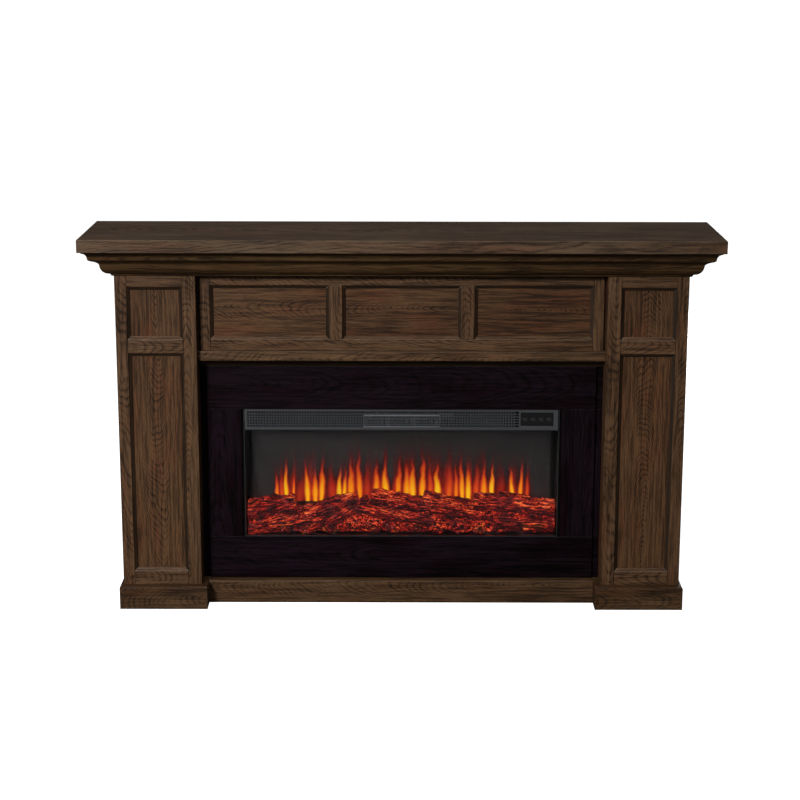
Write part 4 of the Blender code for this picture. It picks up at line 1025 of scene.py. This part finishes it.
def flame_material():
    """Light thrown on the screen: yellow at the heart, orange and red round it, and fading to nothing."""
    material = new_material("flame_light")
    tree = material.node_tree
    shader = shader_of(material)
    sheet = add(tree, "ShaderNodeTexCoord").outputs["UV"]
    spot = add(tree, "ShaderNodeSeparateXYZ", {0: sheet}).outputs
    place = add(tree, "ShaderNodeTexCoord").outputs["Object"]
    warmth = add(tree, "ShaderNodeAttribute", attribute_name="warmth").outputs["Fac"]
    middle = math_node(tree, "MULTIPLY", math_node(tree, "SUBTRACT", spot[0], 0.5), 2.0)
    wisps = noise(tree, stretched(tree, place, (90.0, 90.0, 14.0)), 1.0, 2.0)
    sway = noise(tree, stretched(tree, place, (38.0, 38.0, 20.0)), 1.0, 2.0)
    looseness = remap(tree, spot[1], 0.1, 0.8, 0.0, 3.0)
    sway = math_node(tree, "MULTIPLY", math_node(tree, "SUBTRACT", sway, 0.5), looseness)
    off = math_node(tree, "ABSOLUTE", math_node(tree, "ADD", middle, sway))
    ragged = math_node(tree, "MULTIPLY", math_node(tree, "SUBTRACT", wisps, 0.5), 0.5)
    cooling = remap(tree, spot[1], 0.12, 0.75, 0.0, 1.0)
    core = math_node(tree, "SUBTRACT", remap(tree, off, 0.95, 0.05), cooling)
    core = math_node(tree, "ADD", core, ragged)
    hot = math_node(tree, "MULTIPLY", core, warmth)
    ramp = tree.nodes.new("ShaderNodeValToRGB")
    tree.links.new(hot, ramp.inputs[0])
    stops = ramp.color_ramp.elements
    stops[0].color = (0.14, 0.010, 0.006, 1)
    stops[1].color = (1.0, 0.55, 0.015, 1)
    stops.new(0.14).color = (0.46, 0.020, 0.012, 1)
    stops.new(0.34).color = (0.78, 0.075, 0.012, 1)
    stops.new(0.60).color = (0.95, 0.25, 0.006, 1)
    tree.links.new(ramp.outputs[0], shader.inputs["Emission Color"])
    shader.inputs["Emission Strength"].default_value = 1.0
    shader.inputs["Base Color"].default_value = (0, 0, 0, 1)
    shader.inputs["Specular IOR Level"].default_value = 0.0
    fade = math_node(tree, "MULTIPLY", remap(tree, off, 1.0, 0.15), remap(tree, spot[1], 1.0, 0.1))
    fade = math_node(tree, "POWER", fade, 1.25)
    strength = remap(tree, warmth, 0.0, 0.6, 0.4, 0.95)
    tree.links.new(math_node(tree, "MULTIPLY", fade, strength, clamp=True), shader.inputs["Alpha"])
    return material


# ------------------------------------------------------------------ the vent grille


def make_bar(low, high, bevel=0.02):
    """A bar with eased edges between two corners given in inches."""
    start_piece()
    low, high = inch_point(*low), inch_point(*high)
    size = high - low
    bpy.ops.mesh.primitive_cube_add(size=1, location=(low + high) / 2)
    bar = bpy.context.object
    bar.scale = size
    bpy.ops.object.transform_apply(location=True, rotation=True, scale=True)
    bpy.ops.object.mode_set(mode="EDIT")
    bpy.ops.mesh.select_all(action="SELECT")
    bpy.ops.mesh.bevel(offset=bevel * INCH, segments=2, affect="EDGES")
    bpy.ops.object.mode_set(mode="OBJECT")
    return bar


def make_wires(start, end, step, count, radius):
    """Straight wires side by side: the first runs from start to end, and each next one is a step further."""
    start_piece()
    start, end = inch_point(*start), inch_point(*end)
    turn = (end - start).to_track_quat("Z", "Y").to_euler()
    bpy.ops.mesh.primitive_cylinder_add(
        vertices=6,
        radius=radius * INCH,
        depth=(end - start).length,
        location=(start + end) / 2,
        rotation=turn,
    )
    wire = bpy.context.object
    bpy.ops.object.transform_apply(location=True, rotation=True, scale=True)
    row = wire.modifiers.new("row", "ARRAY")
    row.use_relative_offset = False
    row.use_constant_offset = True
    row.constant_offset_displace = Vector(step) * INCH
    row.count = count
    bpy.ops.object.modifier_apply(modifier="row")
    return wire


def make_grille():
    """A steel frame with welded wire mesh, and a window at its right end for the control panel."""
    bars = (
        (-GRILLE_HALF, MESH_HIGH, GRILLE_HALF, GRILLE_HIGH),
        (-GRILLE_HALF, GRILLE_LOW, GRILLE_HALF, MESH_LOW),
        (-GRILLE_HALF, MESH_LOW, MESH_LEFT, MESH_HIGH),
        (PANEL_RIGHT, MESH_LOW, GRILLE_HALF, MESH_HIGH),
        (MESH_RIGHT, MESH_LOW, PANEL_LEFT, MESH_HIGH),
        (PANEL_LEFT, MESH_LOW, PANEL_RIGHT, PANEL_LOW),
        (PANEL_LEFT, PANEL_HIGH, PANEL_RIGHT, MESH_HIGH),
    )
    pieces = []
    for left, bottom, right, top in bars:
        pieces.append(make_bar((left, GRILLE_FRONT, bottom), (right, GRILLE_BACK, top)))
    count = int((MESH_RIGHT - MESH_LEFT) / WIRE_PITCH)
    pieces.append(make_wires(UPRIGHT_START, UPRIGHT_END, (WIRE_PITCH, 0, 0), count, UPRIGHT_RADIUS))
    pieces.append(make_wires(LEVEL_START, LEVEL_END, (0, 0, WIRE_PITCH), LEVEL_COUNT, LEVEL_RADIUS))
    grille = join_pieces(pieces, "wire_grille")
    wear(grille, coated("grille_charcoal", (0.044, 0.046, 0.049), 0.5, 0.3, 700.0, 0.5, 0.2))
    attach(grille, ROOT)
    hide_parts("vent_grille")


def make_outlet():
    """The warm air outlet: two folded lips with two ribs between them, over the mesh."""
    low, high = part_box("outlet_louvre")
    left, right = low[0] / INCH, high[0] / INCH
    bottom, top = low[2] / INCH, high[2] / INCH
    front, back = low[1] / INCH + FRONT_EDGE, OUTLET_BACK
    pieces = [
        make_bar((left, front, bottom), (right, back, bottom + LIP)),
        make_bar((left, front, top - LIP), (right, back, top)),
    ]
    third = (right - left) / 3
    uprights = (
        (left, left + CHEEK),
        (right - CHEEK, right),
        (left + third - RIB / 2, left + third + RIB / 2),
        (right - third - RIB / 2, right - third + RIB / 2),
    )
    for near, far in uprights:
        pieces.append(make_bar((near, front + SET_BACK, bottom + LIP), (far, back, top - LIP), bevel=0.01))
    outlet = join_pieces(pieces, "outlet_lips")
    wear(outlet, coated("outlet_charcoal", (0.13, 0.135, 0.145), 0.45, 0.3, 700.0, 0.4, 0.2))
    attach(outlet, ROOT)
    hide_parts("outlet_louvre")


OAK_GRAIN = oak_grain_group()
EDGES = edge_group()
SPECKLE = speckle_group()
BOARDS = list_boards()
EMBER = ember_material()

place_camera()
light_studio()
lay_floor()
finish_boards()
finish_hardware()
make_ember_bed()
make_flames()
make_grille()
make_outlet()
